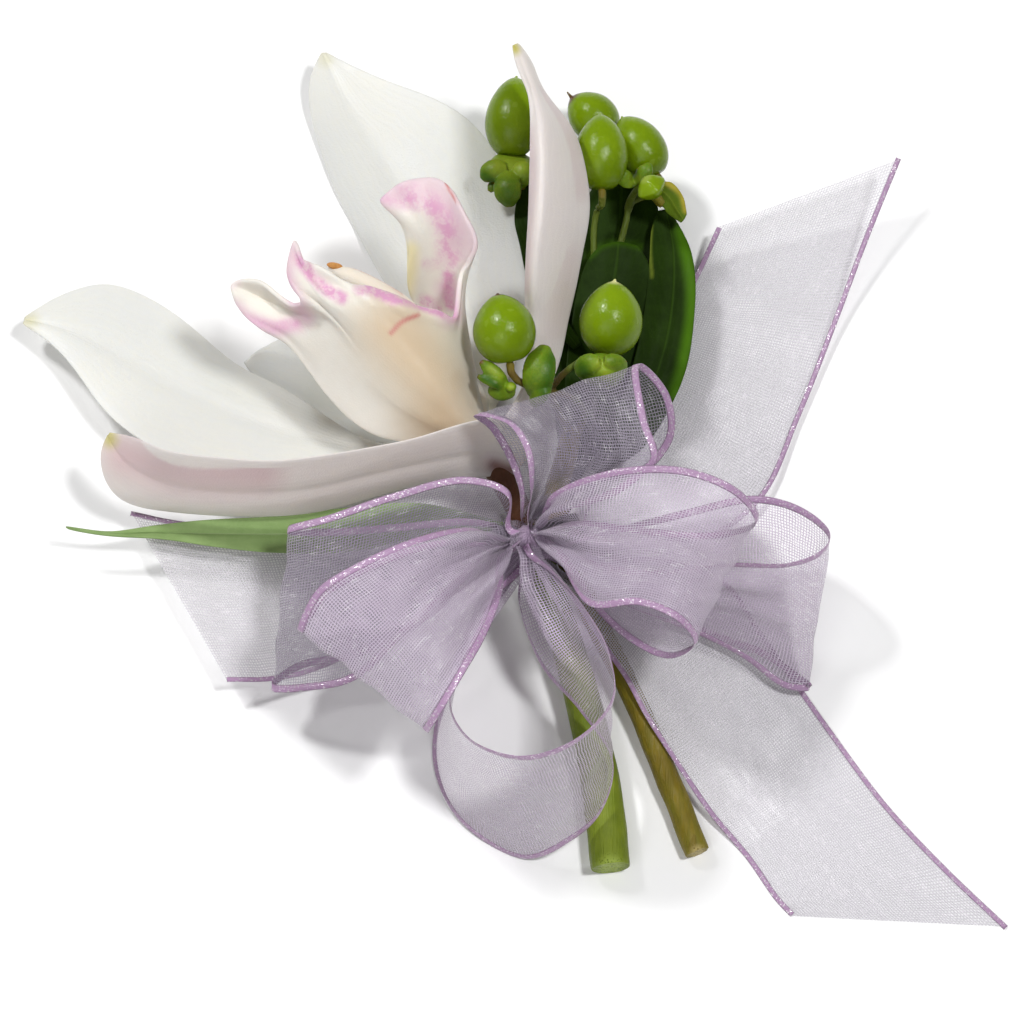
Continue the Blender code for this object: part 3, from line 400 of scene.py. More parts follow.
# Sepals: their middle line from the cup outwards, and half their width in millimetres
CALYX_SEPALS = {
    "berry_1": [([(507, 169, 15), (498, 169, 15.4), (490, 172, 15.2), (482, 180, 14.2)], 1.7),
                ([(508, 172, 15), (507, 184, 16), (508, 196, 15.4), (510, 207, 13.8)], 2.1),
                ([(513, 168, 15), (522, 172, 15.4), (530, 183, 14.4)], 1.8),
                ([(501, 178, 13), (494, 185, 13.6), (489, 192, 13.4)], 0.9)],
    "berry_4": [([(633, 180, 12), (640, 177, 14), (646, 170, 15), (650, 163, 15)], 1.3),
                ([(632, 180, 12), (627, 180, 14.2), (623, 175, 15), (620, 168, 15)], 1.3)],
    "berry_5": [([(506, 385, 23.6), (499, 377, 25), (491, 370, 25.6), (480, 361, 25.8)], 1.1),
                ([(506, 389, 23.4), (497, 384, 25), (488, 380, 25.2), (477, 376, 24.8)], 0.8),
                ([(536, 398, 22), (537, 383, 25), (540, 364, 26), (545, 345, 25.2)], 2.4),
                ([(531, 403, 21.6), (538, 397, 23.8), (544, 390, 24.6), (549, 384, 24)], 1.3)],
    "berry_6": [([(600, 361, 23.5), (590, 363, 23.2), (583, 368, 22.2), (578, 376, 20.4)], 1.6),
                ([(604, 360, 23.5), (612, 361, 23.2), (619, 365, 22.4), (625, 372, 20.8)], 1.3)],
}
# The cups that the sepals grow from: middle, and half their size across, down and up
CALYX_CUPS = {
    "berry_1": [((511, 171, 12.6), (0.0036, 0.0031, 0.0024))],
    "berry_4": [((634, 180, 11.6), (0.0016, 0.0012, 0.0012))],
    "berry_5": [((502, 391, 22.6), (0.0020, 0.0015, 0.0015)),
                ((511, 387, 24.2), (0.0008, 0.0008, 0.0006))],
    "berry_6": [((602, 371, 20), (0.0036, 0.0025, 0.0032))],
}
# Where the cups and sepals get painted shade (shade), painted highlights on their tops (tip) and their own brown
# (brown)
CALYX_PAINT = {
    "berry_1": {"shade": [([(483, 176, 15), (491, 181, 14.6)], 1.6, 0.9),
                          ([(508, 192, 15.6), (509, 203, 14.6)], 2.2, 0.7)],
                "tip": [([(500, 165, 15), (522, 166, 15)], 2.4, 0.9)]},
    "berry_4": {"tip": [([(634, 180, 12.6)], 1.5, 0.5)]},
    "berry_5": {"shade": [([(483, 377, 25.2), (497, 386, 25)], 1.1, 1.0),
                          ([(552, 358, 25.6), (550, 376, 24.6), (545, 392, 24.4)], 1.8, 0.9)],
                "tip": [([(490, 368, 25.8), (500, 376, 25.4)], 0.9, 0.6),
                        ([(511, 387, 24.8)], 0.9, 1.0)],
                "brown": [([(480, 361, 25.8)], 0.9, 1.2), ([(477, 376, 24.8)], 0.5, 1.0)]},
    "berry_6": {"shade": [([(582, 367, 22.6), (584, 374, 22)], 1.5, 0.9)],
                "tip": [([(600, 365, 23.4), (606, 372, 23)], 1.8, 0.9)]},
}

PETAL_GRID = (26, 12)
LEAF_GRID = (22, 8)
LIP_GRID = (30, 128)
RIBBON_GRID = (220, 34)
MOST_GATHER = 0.0017
STEM_SIDES = 20
MEASURING_STEPS = 12


def seen(red, green, blue):
    """A colour as a screen shows it, from 0 to 255, turned into light from 0 to 1."""
    parts = []
    for level in (red, green, blue):
        share = level / 255
        parts.append(share / 12.92 if share <= 0.04045 else ((share + 0.055) / 1.055) ** 2.4)
    return tuple(parts)


class CorsageSizes(bpy.types.PropertyGroup):
    """The sizes that a user would change"""
    petal_thickness: FloatProperty(
        name="Petal thickness", description="Thickness of a petal at its middle",
        default=0.0009, min=0.0003, max=0.002, unit="LENGTH", precision=4)
    lip_thickness: FloatProperty(
        name="Lip thickness", description="Thickness of the orchid's lip",
        default=0.0008, min=0.0003, max=0.002, unit="LENGTH", precision=4)
    leaf_thickness: FloatProperty(
        name="Leaf thickness", description="Thickness of a leaf or sepal of the sprig",
        default=0.0006, min=0.0002, max=0.002, unit="LENGTH", precision=4)
    edge_waver: FloatProperty(
        name="Petal waver", description="How far a petal's edges wave up and down",
        default=0.0007, min=0.0, max=0.003, unit="LENGTH", precision=4)
    thread_spacing: FloatProperty(
        name="Thread spacing", description="Distance between the ribbon's threads",
        default=0.00041, min=0.0002, max=0.002, unit="LENGTH", precision=5)
    band_width: FloatProperty(
        name="Band width", description="Width of the wired band along each ribbon edge",
        default=0.0011, min=0.0004, max=0.003, unit="LENGTH", precision=4)
    gathers: IntProperty(
        name="Gathers", description="Pleats across the ribbon where it is gathered",
        default=3, min=1, max=12)


class CorsageColours(bpy.types.PropertyGroup):
    """The colours that a user would change"""
    petal: FloatVectorProperty(
        name="Petal", description="Colour of the white petals", subtype="COLOR",
        default=seen(226, 226, 221), min=0, max=1)
    blush: FloatVectorProperty(
        name="Blush", description="Colour of the outer faces of the two raised sepals",
        subtype="COLOR", default=seen(222, 212, 208), min=0, max=1)
    throat: FloatVectorProperty(
        name="Throat", description="Warm colour deep in the lip", subtype="COLOR",
        default=seen(194, 166, 126), min=0, max=1)
    marking: FloatVectorProperty(
        name="Marking", description="Colour of the lip's markings", subtype="COLOR",
        default=seen(214, 160, 192), min=0, max=1)
    berry: FloatVectorProperty(
        name="Berry", description="Colour of the berries", subtype="COLOR",
        default=seen(114, 142, 8), min=0, max=1)
    leaf: FloatVectorProperty(
        name="Leaf", description="Colour of the dark leaves", subtype="COLOR",
        default=seen(34, 54, 10), min=0, max=1)
    stem: FloatVectorProperty(
        name="Orchid stem", description="Colour of the orchid's cut stem", subtype="COLOR",
        default=seen(118, 132, 34), min=0, max=1)
    ribbon: FloatVectorProperty(
        name="Ribbon", description="Colour of the ribbon's threads", subtype="COLOR",
        default=seen(214, 198, 219), min=0, max=1)
    band: FloatVectorProperty(
        name="Ribbon band", description="Colour of the wired bands along the ribbon",
        subtype="COLOR", default=seen(164, 128, 164), min=0, max=1)


def table_point(across, down, height):
    """The place over the table, at a height in millimetres, that is seen at a picture point."""
    rise = Vector((0, -math.cos(VIEW_RISE), math.sin(VIEW_RISE)))
    up = Vector((0, math.sin(VIEW_RISE), math.cos(VIEW_RISE)))
    eye = Vector((0, 0, VIEW_HEIGHT)) + rise * VIEW_DISTANCE
    slope = PICTURE_UNIT / VIEW_DISTANCE
    ray = -rise + up * (PICTURE_CENTRE - down) * slope
    ray.x += (across - PICTURE_CENTRE) * slope
    reach = (height / 1000 - eye.z) / ray.z
    return eye + ray * reach - Vector((MIDDLE_X, MIDDLE_Y, 0))


def trace(points):
    """The places of a list of picture points."""
    return [table_point(*point) for point in points]


def smooth(points, amount):
    """A point on the smooth curve through points; amount runs from 0 to the last index."""
    first = min(int(amount), len(points) - 2)
    part = amount - first
    here, there = points[first], points[first + 1]
    before = points[first - 1] if first else here * 2 - there
    after = points[first + 2] if first + 2 < len(points) else there * 2 - here
    step_in = max(math.sqrt((here - before).length), 1e-6)
    step = max(math.sqrt((there - here).length), 1e-6)
    step_out = max(math.sqrt((after - there).length), 1e-6)
    leave = (here - before) / step_in - (there - before) / (step_in + step) + (there - here) / step
    reach = (there - here) / step - (after - here) / (step + step_out) + (after - there) / step_out
    square, cube = part ** 2, part ** 3
    return (here * (2 * cube - 3 * square + 1) + leave * step * (cube - 2 * square + part)
            + there * (3 * square - 2 * cube) + reach * step * (cube - square))


def even_amounts(points, count):
    """Curve amounts that split the curve through points into equal lengths, and its length."""
    last = len(points) - 1
    amounts = [step / MEASURING_STEPS for step in range(last * MEASURING_STEPS + 1)]
    places = [smooth(points, amount) for amount in amounts]
    lengths = [0]
    for here, there in zip(places, places[1:]):
        lengths.append(lengths[-1] + (there - here).length)
    chosen = []
    upper = 1
    for step in range(count + 1):
        wanted = lengths[-1] * step / count
        while upper < len(lengths) - 1 and lengths[upper] < wanted:
            upper += 1
        span = lengths[upper] - lengths[upper - 1]
        share = (wanted - lengths[upper - 1]) / span if span else 0
        chosen.append(amounts[upper - 1] + (amounts[upper] - amounts[upper - 1]) * min(share, 1))
    return chosen, lengths[-1]


def spread(points, count):
    """Points at equal lengths along the curve through points."""
    return [smooth(points, amount) for amount in even_amounts(points, count)[0]]


def ease(low, high, value):
    """A smooth step from 0 at low to 1 at high."""
    share = max(0, min(1, (value - low) / (high - low)))
    return share * share * (3 - 2 * share)


def blade_rows(outlines, grid):
    """Rows of places through outlines that run side by side, one row after the other."""
    along, across = grid
    lines = [spread(trace(outline), along) for outline in outlines]
    columns = [list(column) for column in zip(*lines)]
    rows = []
    for step in range(across + 1):
        amount = step / across * (len(lines) - 1)
        rows.append([smooth(column, amount) for column in columns])
    return rows


def row_normals(rows):
    """The direction that a sheet through rows of places faces at each place."""
    last_row, last_column = len(rows) - 1, len(rows[0]) - 1
    facing = []
    for r, row in enumerate(rows):
        line = []
        for c, _ in enumerate(row):
            along = row[min(c + 1, last_column)] - row[max(c - 1, 0)]
            across = rows[min(r + 1, last_row)][c] - rows[max(r - 1, 0)][c]
            normal = along.cross(across)
            if normal.length < 1e-12 and line:
                normal = line[-1]
            line.append(normal.normalized())
        facing.append(line)
    return facing


def swollen(rows, swell):
    """Rows moved along their normals by swell, a length for each share along and across."""
    facing = row_normals(rows)
    last_row, last_column = len(rows) - 1, len(rows[0]) - 1
    return [[place + facing[r][c] * swell(c / last_column, r / last_row)
             for c, place in enumerate(row)] for r, row in enumerate(rows)]


def lifted(rows, lowest):
    """Rows with nothing of them lower than a height over the table."""
    return [[Vector((place.x, place.y, max(place.z, lowest))) for place in row] for row in rows]


def clear_choice():
    """Leave nothing selected."""
    bpy.ops.object.select_all(action="DESELECT")


def pull_points(item, places):
    """Move the points of a mesh to their places, one after the other, in edit mode."""
    bpy.ops.object.mode_set(mode="EDIT")
    bpy.ops.mesh.select_mode(type="VERT")
    bpy.ops.mesh.select_all(action="DESELECT")
    points = list(bmesh.from_edit_mesh(item.data).verts)
    for point, place in zip(points, places):
        point.select_set(True)
        bpy.ops.transform.translate(value=place - item.matrix_world @ point.co)
        point.select_set(False)
    bpy.ops.object.mode_set(mode="OBJECT")


def settle(item):
    """Put a piece's place, turn and size in its mesh, with its object at the origin."""
    clear_choice()
    item.select_set(True)
    bpy.context.view_layer.objects.active = item
    bpy.ops.object.transform_apply(location=True, rotation=True, scale=True)


def finish_with(item, kind, **settings):
    """Add a modifier with its settings and apply it."""
    clear_choice()
    item.select_set(True)
    bpy.context.view_layer.objects.active = item
    bpy.ops.object.modifier_add(type=kind)
    modifier = item.modifiers[-1]
    for name, value in settings.items():
        setattr(modifier, name, value)
    bpy.ops.object.modifier_apply(modifier=modifier.name)


def round_off(item, levels=1):
    """Subdivide a piece smoothly and shade it smooth."""
    finish_with(item, "SUBSURF", levels=levels, render_levels=levels)
    bpy.ops.object.shade_smooth()


def name_piece(name):
    """Give the piece just added its name."""
    item = bpy.context.object
    item.name = name
    item.data.name = name
    return item


def grid_through(name, rows):
    """A grid whose points are pulled to rows of places."""
    clear_choice()
    across, along = len(rows) - 1, len(rows[0]) - 1
    middle = rows[across // 2][along // 2]
    size = (rows[across // 2][-1] - rows[across // 2][0]).length
    bpy.ops.mesh.primitive_grid_add(x_subdivisions=along, y_subdivisions=across, size=size,
                                    location=middle)
    item = name_piece(name)
    pull_points(item, [place for row in rows for place in row])
    settle(item)
    return item


def thicken(item, grid, thickness, thin_edge, levels, **settings):
    """Give a grid its thickness, thinner at its side edges, and round it off."""
    along, across = grid
    group = item.vertex_groups.new(name="thickness")
    for index in range(len(item.data.vertices)):
        side = abs(2 * (index // (along + 1)) / across - 1)
        group.add([index], 1 - side ** 3, "REPLACE")
    finish_with(item, "SOLIDIFY", thickness=thickness, offset=0, vertex_group="thickness",
                thickness_vertex_group=thin_edge, **settings)
    item.vertex_groups.clear()
    round_off(item, levels)


def stand_for(item, *nodes, slot, materials):
    """Dress a finished piece, let it ride and let it stand for its nodes of the frame."""
    item.data.materials.clear()
    for material in materials:
        item.data.materials.append(material)
    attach(item, "root")
    if nodes:
        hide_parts(*nodes)
    return item


def picture_points(places):
    """Where places are seen: across and down in the picture, and millimetres over the table."""
    rise = np.array((0, -math.cos(VIEW_RISE), math.sin(VIEW_RISE)))
    up = np.array((0, math.sin(VIEW_RISE), math.cos(VIEW_RISE)))
    eye = np.array((-MIDDLE_X, -MIDDLE_Y, VIEW_HEIGHT)) + rise * VIEW_DISTANCE
    away = places - eye
    scale = VIEW_DISTANCE / PICTURE_UNIT / (away @ -rise)
    return np.column_stack((PICTURE_CENTRE + away[:, 0] * scale,
                            PICTURE_CENTRE - (away @ up) * scale, places[:, 2] * 1000))


def paint(item, name, strokes, depth=5.0):
    """Write a mask on a piece: 1 along each stroke, falling to 0 at its reach in the picture.
    A stroke is its picture points, its reach in millimetres and its strength. It paints what
    lies less than depth millimetres higher or lower than it does."""
    seen_at = picture_points(np.array([point.co[:] for point in item.data.vertices]))
    mask = np.zeros(len(seen_at))
    for points, reach, strength in strokes:
        marks = [Vector(point) for point in points]
        steps = 12 * (len(marks) - 1)
        line = [smooth(marks, step * (len(marks) - 1) / steps) for step in range(steps + 1)] \
            if steps else marks
        away = np.full(len(seen_at), np.inf)
        for place in line:
            offset = seen_at - np.array(place)
            flat = np.hypot(offset[:, 0], offset[:, 1]) * PICTURE_UNIT * 1000
            away = np.minimum(away, np.where(np.abs(offset[:, 2]) < depth, flat, np.inf))
        share = np.clip(1 - away / reach, 0, 1)
        mask = np.maximum(mask, strength * share * share * (3 - 2 * share))
    attribute = item.data.attributes.new(name, "FLOAT", "POINT")
    attribute.data.foreach_set("value", mask.astype(np.float32))


def put(tree, kind, inputs=None, **settings):
    """Place a node, set what it is given and link what comes from another node."""
    step = tree.nodes.new(kind)
    for name, value in settings.items():
        setattr(step, name, value)
    for key, value in (inputs or {}).items():
        if isinstance(value, bpy.types.NodeSocket):
            tree.links.new(value, step.inputs[key])
        elif isinstance(value, tuple) and len(value) == 3 and step.inputs[key].type == "RGBA":
            step.inputs[key].default_value = (*value, 1)
        else:
            step.inputs[key].default_value = value
    return step


def number(tree, operation, *values, clamp=False):
    """One step of arithmetic."""
    step = put(tree, "ShaderNodeMath", dict(enumerate(values)), operation=operation,
               use_clamp=clamp)
    return step.outputs[0]


def soft_step(tree, value, low, high):
    """0 under low, 1 over high and smooth between; high may be the lower one."""
    step = put(tree, "ShaderNodeMapRange", {"Value": value, "From Min": low, "From Max": high},
               interpolation_type="SMOOTHSTEP")
    return step.outputs[0]


def tint(tree, share, first, second):
    """The first colour where share is 0, the second where it is 1."""
    step = put(tree, "ShaderNodeMix", {0: share}, data_type="RGBA")
    for key, value in ((6, first), (7, second)):
        if isinstance(value, bpy.types.NodeSocket):
            tree.links.new(value, step.inputs[key])
        else:
            step.inputs[key].default_value = (*value, 1)
    return step.outputs[2]


def cloud(tree, vector, scale, detail=3, roughness=0.55):
    """Soft uneven values round a half."""
    step = put(tree, "ShaderNodeTexNoise", {"Vector": vector, "Scale": scale, "Detail": detail,
                                            "Roughness": roughness})
    return step.outputs[0]


def stretched(tree, vector, scale, turn=(0, 0, 0)):
    """Coordinates stretched and turned for a pattern."""
    step = put(tree, "ShaderNodeMapping", {"Vector": vector, "Scale": scale, "Rotation": turn})
    return step.outputs[0]


def place_on(tree):
    """The place on the piece, in metres."""
    return put(tree, "ShaderNodeTexCoord").outputs["Object"]


def map_of(tree):
    """The piece's own map and its two shares."""
    vector = put(tree, "ShaderNodeTexCoord").outputs["UV"]
    parts = put(tree, "ShaderNodeSeparateXYZ", {0: vector})
    return vector, parts.outputs[0], parts.outputs[1]


def painted(tree, name):
    """A mask that was painted on the piece."""
    return put(tree, "ShaderNodeAttribute", attribute_name=name).outputs["Fac"]


def begin_group(name, inputs, outputs):
    """An empty shader group with named inputs and outputs."""
    tree = bpy.data.node_groups.new(name, "ShaderNodeTree")
    for label, value in inputs.items():
        kind = "NodeSocketVector" if value is None else "NodeSocketFloat"
        socket = tree.interface.new_socket(name=label, in_out="INPUT", socket_type=kind)
        if value is not None:
            socket.default_value = value
    for label in outputs:
        tree.interface.new_socket(name=label, in_out="OUTPUT", socket_type="NodeSocketFloat")
    start = tree.nodes.new("NodeGroupInput")
    end = tree.nodes.new("NodeGroupOutput")
    return tree, start.outputs, end.inputs


def long_veins():
    """Veins that run along a piece's map and waver a little."""
    tree, given, result = begin_group(
        "Long veins", {"Map": None, "Count": 20.0, "Waver": 0.5}, ("Vein", "Ridge"))
    parts = put(tree, "ShaderNodeSeparateXYZ", {0: given["Map"]})
    drift = cloud(tree, stretched(tree, given["Map"], (5, 2.5, 1)), 2.0, 2)
    across = number(tree, "MULTIPLY", parts.outputs[1], given["Count"])
    moved = number(tree, "ADD", across, number(tree, "MULTIPLY", drift, given["Waver"]))
    ridge = number(tree, "MULTIPLY", number(tree, "PINGPONG", moved, 0.5), 2.0)
    tree.links.new(soft_step(tree, ridge, 0.35, 0.0), result["Vein"])
    tree.links.new(ridge, result["Ridge"])
    return tree


def mottle():
    """Soft patches in two sizes."""
    tree, given, result = begin_group(
        "Mottle", {"Place": None, "Scale": 100.0, "Contrast": 0.2}, ("Patch",))
    large = cloud(tree, given["Place"], given["Scale"], 2)
    small = cloud(tree, given["Place"], number(tree, "MULTIPLY", given["Scale"], 4.3), 3)
    both = number(tree, "ADD", number(tree, "MULTIPLY", large, 0.65),
                  number(tree, "MULTIPLY", small, 0.35))
    low = number(tree, "SUBTRACT", 0.5, given["Contrast"])
    high = number(tree, "ADD", 0.5, given["Contrast"])
    tree.links.new(soft_step(tree, both, low, high), result["Patch"])
    return tree


def skin_cells():
    """The tiny swellings of a plant's skin."""
    tree, given, result = begin_group(
        "Skin cells", {"Place": None, "Scale": 2500.0}, ("Swell",))
    cells = put(tree, "ShaderNodeTexVoronoi", {"Vector": given["Place"], "Scale": given["Scale"]})
    tree.links.new(soft_step(tree, cells.outputs["Distance"], 0.7, 0.0), result["Swell"])
    return tree


def organza_weave():
    """The open weave of sheer ribbon: how much thread covers each spot, and its height."""
    tree, given, result = begin_group(
        "Organza weave", {"Map": None, "Spacing": 0.0004, "Thread": 0.25},
        ("Cover", "Height"))
    drift = put(tree, "ShaderNodeTexNoise", {"Vector": given["Map"], "Scale": 260.0,
                                             "Detail": 4.0})
    wander = put(tree, "ShaderNodeVectorMath", {0: drift.outputs[1], 1: (0.5, 0.5, 0.5)},
                 operation="SUBTRACT")
    wander = put(tree, "ShaderNodeVectorMath", {0: wander.outputs[0], "Scale": 0.0008},
                 operation="SCALE")
    moved = put(tree, "ShaderNodeVectorMath", {0: given["Map"], 1: wander.outputs[0]},
                operation="ADD")
    parts = put(tree, "ShaderNodeSeparateXYZ", {0: moved.outputs[0]})
    threads = []
    for part in parts.outputs[:2]:
        turns = number(tree, "DIVIDE", part, given["Spacing"])
        from_middle = number(tree, "MULTIPLY", number(tree, "PINGPONG", turns, 0.5), 2.0)
        inner = number(tree, "MULTIPLY", given["Thread"], 0.7)
        outer = number(tree, "MULTIPLY", given["Thread"], 1.3)
        threads.append(soft_step(tree, from_middle, outer, inner))
    cover = number(tree, "MAXIMUM", *threads)
    tree.links.new(cover, result["Cover"])
    tree.links.new(number(tree, "MULTIPLY", number(tree, "ADD", *threads), 0.5), result["Height"])
    return tree


def glitter():
    """Small bright flecks, scattered over a fine thread."""
    tree, given, result = begin_group(
        "Glitter", {"Place": None, "Scale": 3000.0, "Share": 0.2}, ("Fleck",))
    cells = put(tree, "ShaderNodeTexVoronoi", {"Vector": given["Place"], "Scale": given["Scale"]})
    chance = put(tree, "ShaderNodeSeparateColor", {0: cells.outputs["Color"]}).outputs[0]
    low = number(tree, "SUBTRACT", 1.0, given["Share"])
    tree.links.new(soft_step(tree, chance, low, 1.0), result["Fleck"])
    return tree


GROUPS = {"veins": long_veins, "mottle": mottle, "cells": skin_cells, "weave": organza_weave,
          "glitter": glitter}
built_groups = {}


def effect(tree, kind, **inputs):
    """A shared effect placed in a material, with its own values."""
    if kind not in built_groups:
        built_groups[kind] = GROUPS[kind]()
    step = tree.nodes.new("ShaderNodeGroup")
    step.node_tree = built_groups[kind]
    for name, value in inputs.items():
        socket = step.inputs[name.title()]
        if isinstance(value, bpy.types.NodeSocket):
            tree.links.new(value, socket)
        else:
            socket.default_value = value
    return step.outputs


def begin_material(name):
    """A material with its shader node."""
    material = bpy.data.materials.new(name)
    material.use_nodes = True
    return material, material.node_tree, material.node_tree.nodes["Principled BSDF"]


def dress(tree, shader, colour, roughness, height=None, depth=0.0001, **fixed):
    """Link a shader's colour, roughness and relief, and set its fixed values."""
    tree.links.new(colour, shader.inputs["Base Color"])
    if isinstance(roughness, bpy.types.NodeSocket):
        tree.links.new(roughness, shader.inputs["Roughness"])
    else:
        shader.inputs["Roughness"].default_value = roughness
    if height is not None:
        relief = put(tree, "ShaderNodeBump", {"Strength": 1.0, "Distance": depth,
                                              "Height": height})
        tree.links.new(relief.outputs[0], shader.inputs["Normal"])
    for name, value in fixed.items():
        shader.inputs[name.replace("_", " ")].default_value = value


def spread_values(tree, value, low, high):
    """A value from 0 to 1 put between two others."""
    step = put(tree, "ShaderNodeMapRange", {"Value": value, "To Min": low, "To Max": high})
    return step.outputs[0]


def petal_material(name, colour, tip, shade, strength):
    """Waxy living petal: long veins, a green tip, a base tinted towards the tip colour (partly the
    petal's own tone and partly painted light where the base lies in shade), and the colour of its
    shade mask: painted shade on the cream petals, their own pink with some painted shade on the
    blush sepals.
    """
    material, tree, shader = begin_material(name)
    map_vector, along, _ = map_of(tree)
    place = place_on(tree)
    veins = effect(tree, "veins", map=map_vector, count=17.0, waver=3.4)
    patches = effect(tree, "mottle", place=place, scale=90.0, contrast=0.16)
    cells = effect(tree, "cells", place=place, scale=3200.0)
    colours = tint(tree, number(tree, "MULTIPLY", patches["Patch"], 0.16), colour, tip)
    colours = tint(tree, number(tree, "MULTIPLY", veins["Vein"], 0.12), colours, tip)
    # Shade mask: painted shade on the cream petals; own pink, with painted shade at a crease and a foot, on the
    # blush sepals
    colours = tint(tree, number(tree, "MULTIPLY", painted(tree, "shade"), strength), colours, shade)
    # Towards the base: partly the petal's own tone and partly painted light on bases that lie in shade
    near_base = soft_step(tree, along, 0.22, 0.0)
    colours = tint(tree, number(tree, "MULTIPLY", near_base, 0.75), colours, tip)
    colours = tint(tree, painted(tree, "tip"), colours, seen(186, 178, 92))
    # Brown at sepal_lower_left's foot: partly its own burgundy and partly painted shade
    colours = tint(tree, painted(tree, "brown"), colours, seen(120, 66, 56))
    roughness = spread_values(tree, patches["Patch"], 0.36, 0.50)
    height = number(tree, "ADD", number(tree, "MULTIPLY", veins["Ridge"], 0.25),
                    number(tree, "MULTIPLY", cells["Swell"], 0.3))
    dress(tree, shader, colours, roughness, height, 0.00006, Subsurface_Weight=0.35,
          Subsurface_Scale=0.004, Subsurface_Radius=(1.0, 0.85, 0.65), Specular_IOR_Level=0.35,
          Sheen_Weight=0.08)
    return material


def lip_material(name, colour, inner):
    """The lip: cream, tan in the throat, with blotched markings along its rim."""
    material, tree, shader = begin_material(name)
    colours = bpy.context.scene.corsage_colours
    map_vector, along, _ = map_of(tree)
    place = place_on(tree)
    veins = effect(tree, "veins", map=map_vector, count=46.0, waver=2.0)
    patches = effect(tree, "mottle", place=place, scale=150.0, contrast=0.18)
    blots = effect(tree, "mottle", place=place, scale=620.0, contrast=0.10)
    cells = effect(tree, "cells", place=place, scale=3600.0)
    base = tint(tree, number(tree, "MULTIPLY", patches["Patch"], 0.14), colour, seen(204, 192, 176))
    base = tint(tree, number(tree, "MULTIPLY", painted(tree, "throat"), 0.9), base,
                tuple(colours.throat))
    base = tint(tree, number(tree, "MULTIPLY", painted(tree, "yellow"), 0.9), base,
                seen(240, 226, 168))
    base = tint(tree, number(tree, "MULTIPLY", painted(tree, "flush"), 0.85), base,
                seen(218, 182, 200))
    marks = number(tree, "MULTIPLY", painted(tree, "marks"),
                   spread_values(tree, blots["Patch"], 0.55, 1.2), clamp=True)
    base = tint(tree, marks, base, tuple(colours.marking))
    base = tint(tree, painted(tree, "streak"), base, seen(196, 124, 120))
    height = number(tree, "ADD", number(tree, "MULTIPLY", veins["Ridge"], 0.10),
                    number(tree, "MULTIPLY", cells["Swell"], 0.35))
    roughness = spread_values(tree, patches["Patch"], 0.38, 0.52)
    dress(tree, shader, base, roughness, height, 0.00004, Subsurface_Weight=0.35,
          Subsurface_Scale=0.003, Subsurface_Radius=(1.0, 0.8, 0.65), Specular_IOR_Level=0.35,
          Sheen_Weight=0.1 if inner else 0.05)
    return material


def plant_material(name, colour, light, dark, scale, roughness, relief=0.00005, veins=0.0,
                   **fixed):
    """Green or woody skin: mottled between a light and a dark colour, with fine cells."""
    material, tree, shader = begin_material(name)
    map_vector, along, _ = map_of(tree)
    place = place_on(tree)
    patches = effect(tree, "mottle", place=place, scale=scale, contrast=0.2)
    fine = effect(tree, "mottle", place=place, scale=scale * 9, contrast=0.2)
    cells = effect(tree, "cells", place=place, scale=4200.0)
    ribs = effect(tree, "veins", map=map_vector, count=18.0, waver=1.2)
    colours = tint(tree, number(tree, "MULTIPLY", patches["Patch"], 0.55), colour, dark)
    colours = tint(tree, number(tree, "MULTIPLY", fine["Patch"], 0.22), colours, light)
    colours = tint(tree, number(tree, "MULTIPLY", ribs["Vein"], veins), colours, light)
    # On the calyxes the shade mask is painted shade and the tip mask painted highlights; brown is their own
    # colour
    colours = tint(tree, painted(tree, "shade"), colours, dark)
    colours = tint(tree, painted(tree, "tip"), colours, light)
    colours = tint(tree, painted(tree, "brown"), colours, seen(92, 58, 30))
    height = number(tree, "ADD", number(tree, "MULTIPLY", fine["Patch"], 0.5),
                    number(tree, "MULTIPLY", cells["Swell"], 0.5))
    height = number(tree, "ADD", height, number(tree, "MULTIPLY", ribs["Ridge"], veins * 4))
    gloss = spread_values(tree, fine["Patch"], roughness * 0.85, roughness * 1.2)
    dress(tree, shader, colours, gloss, height, relief, **fixed)
    return material


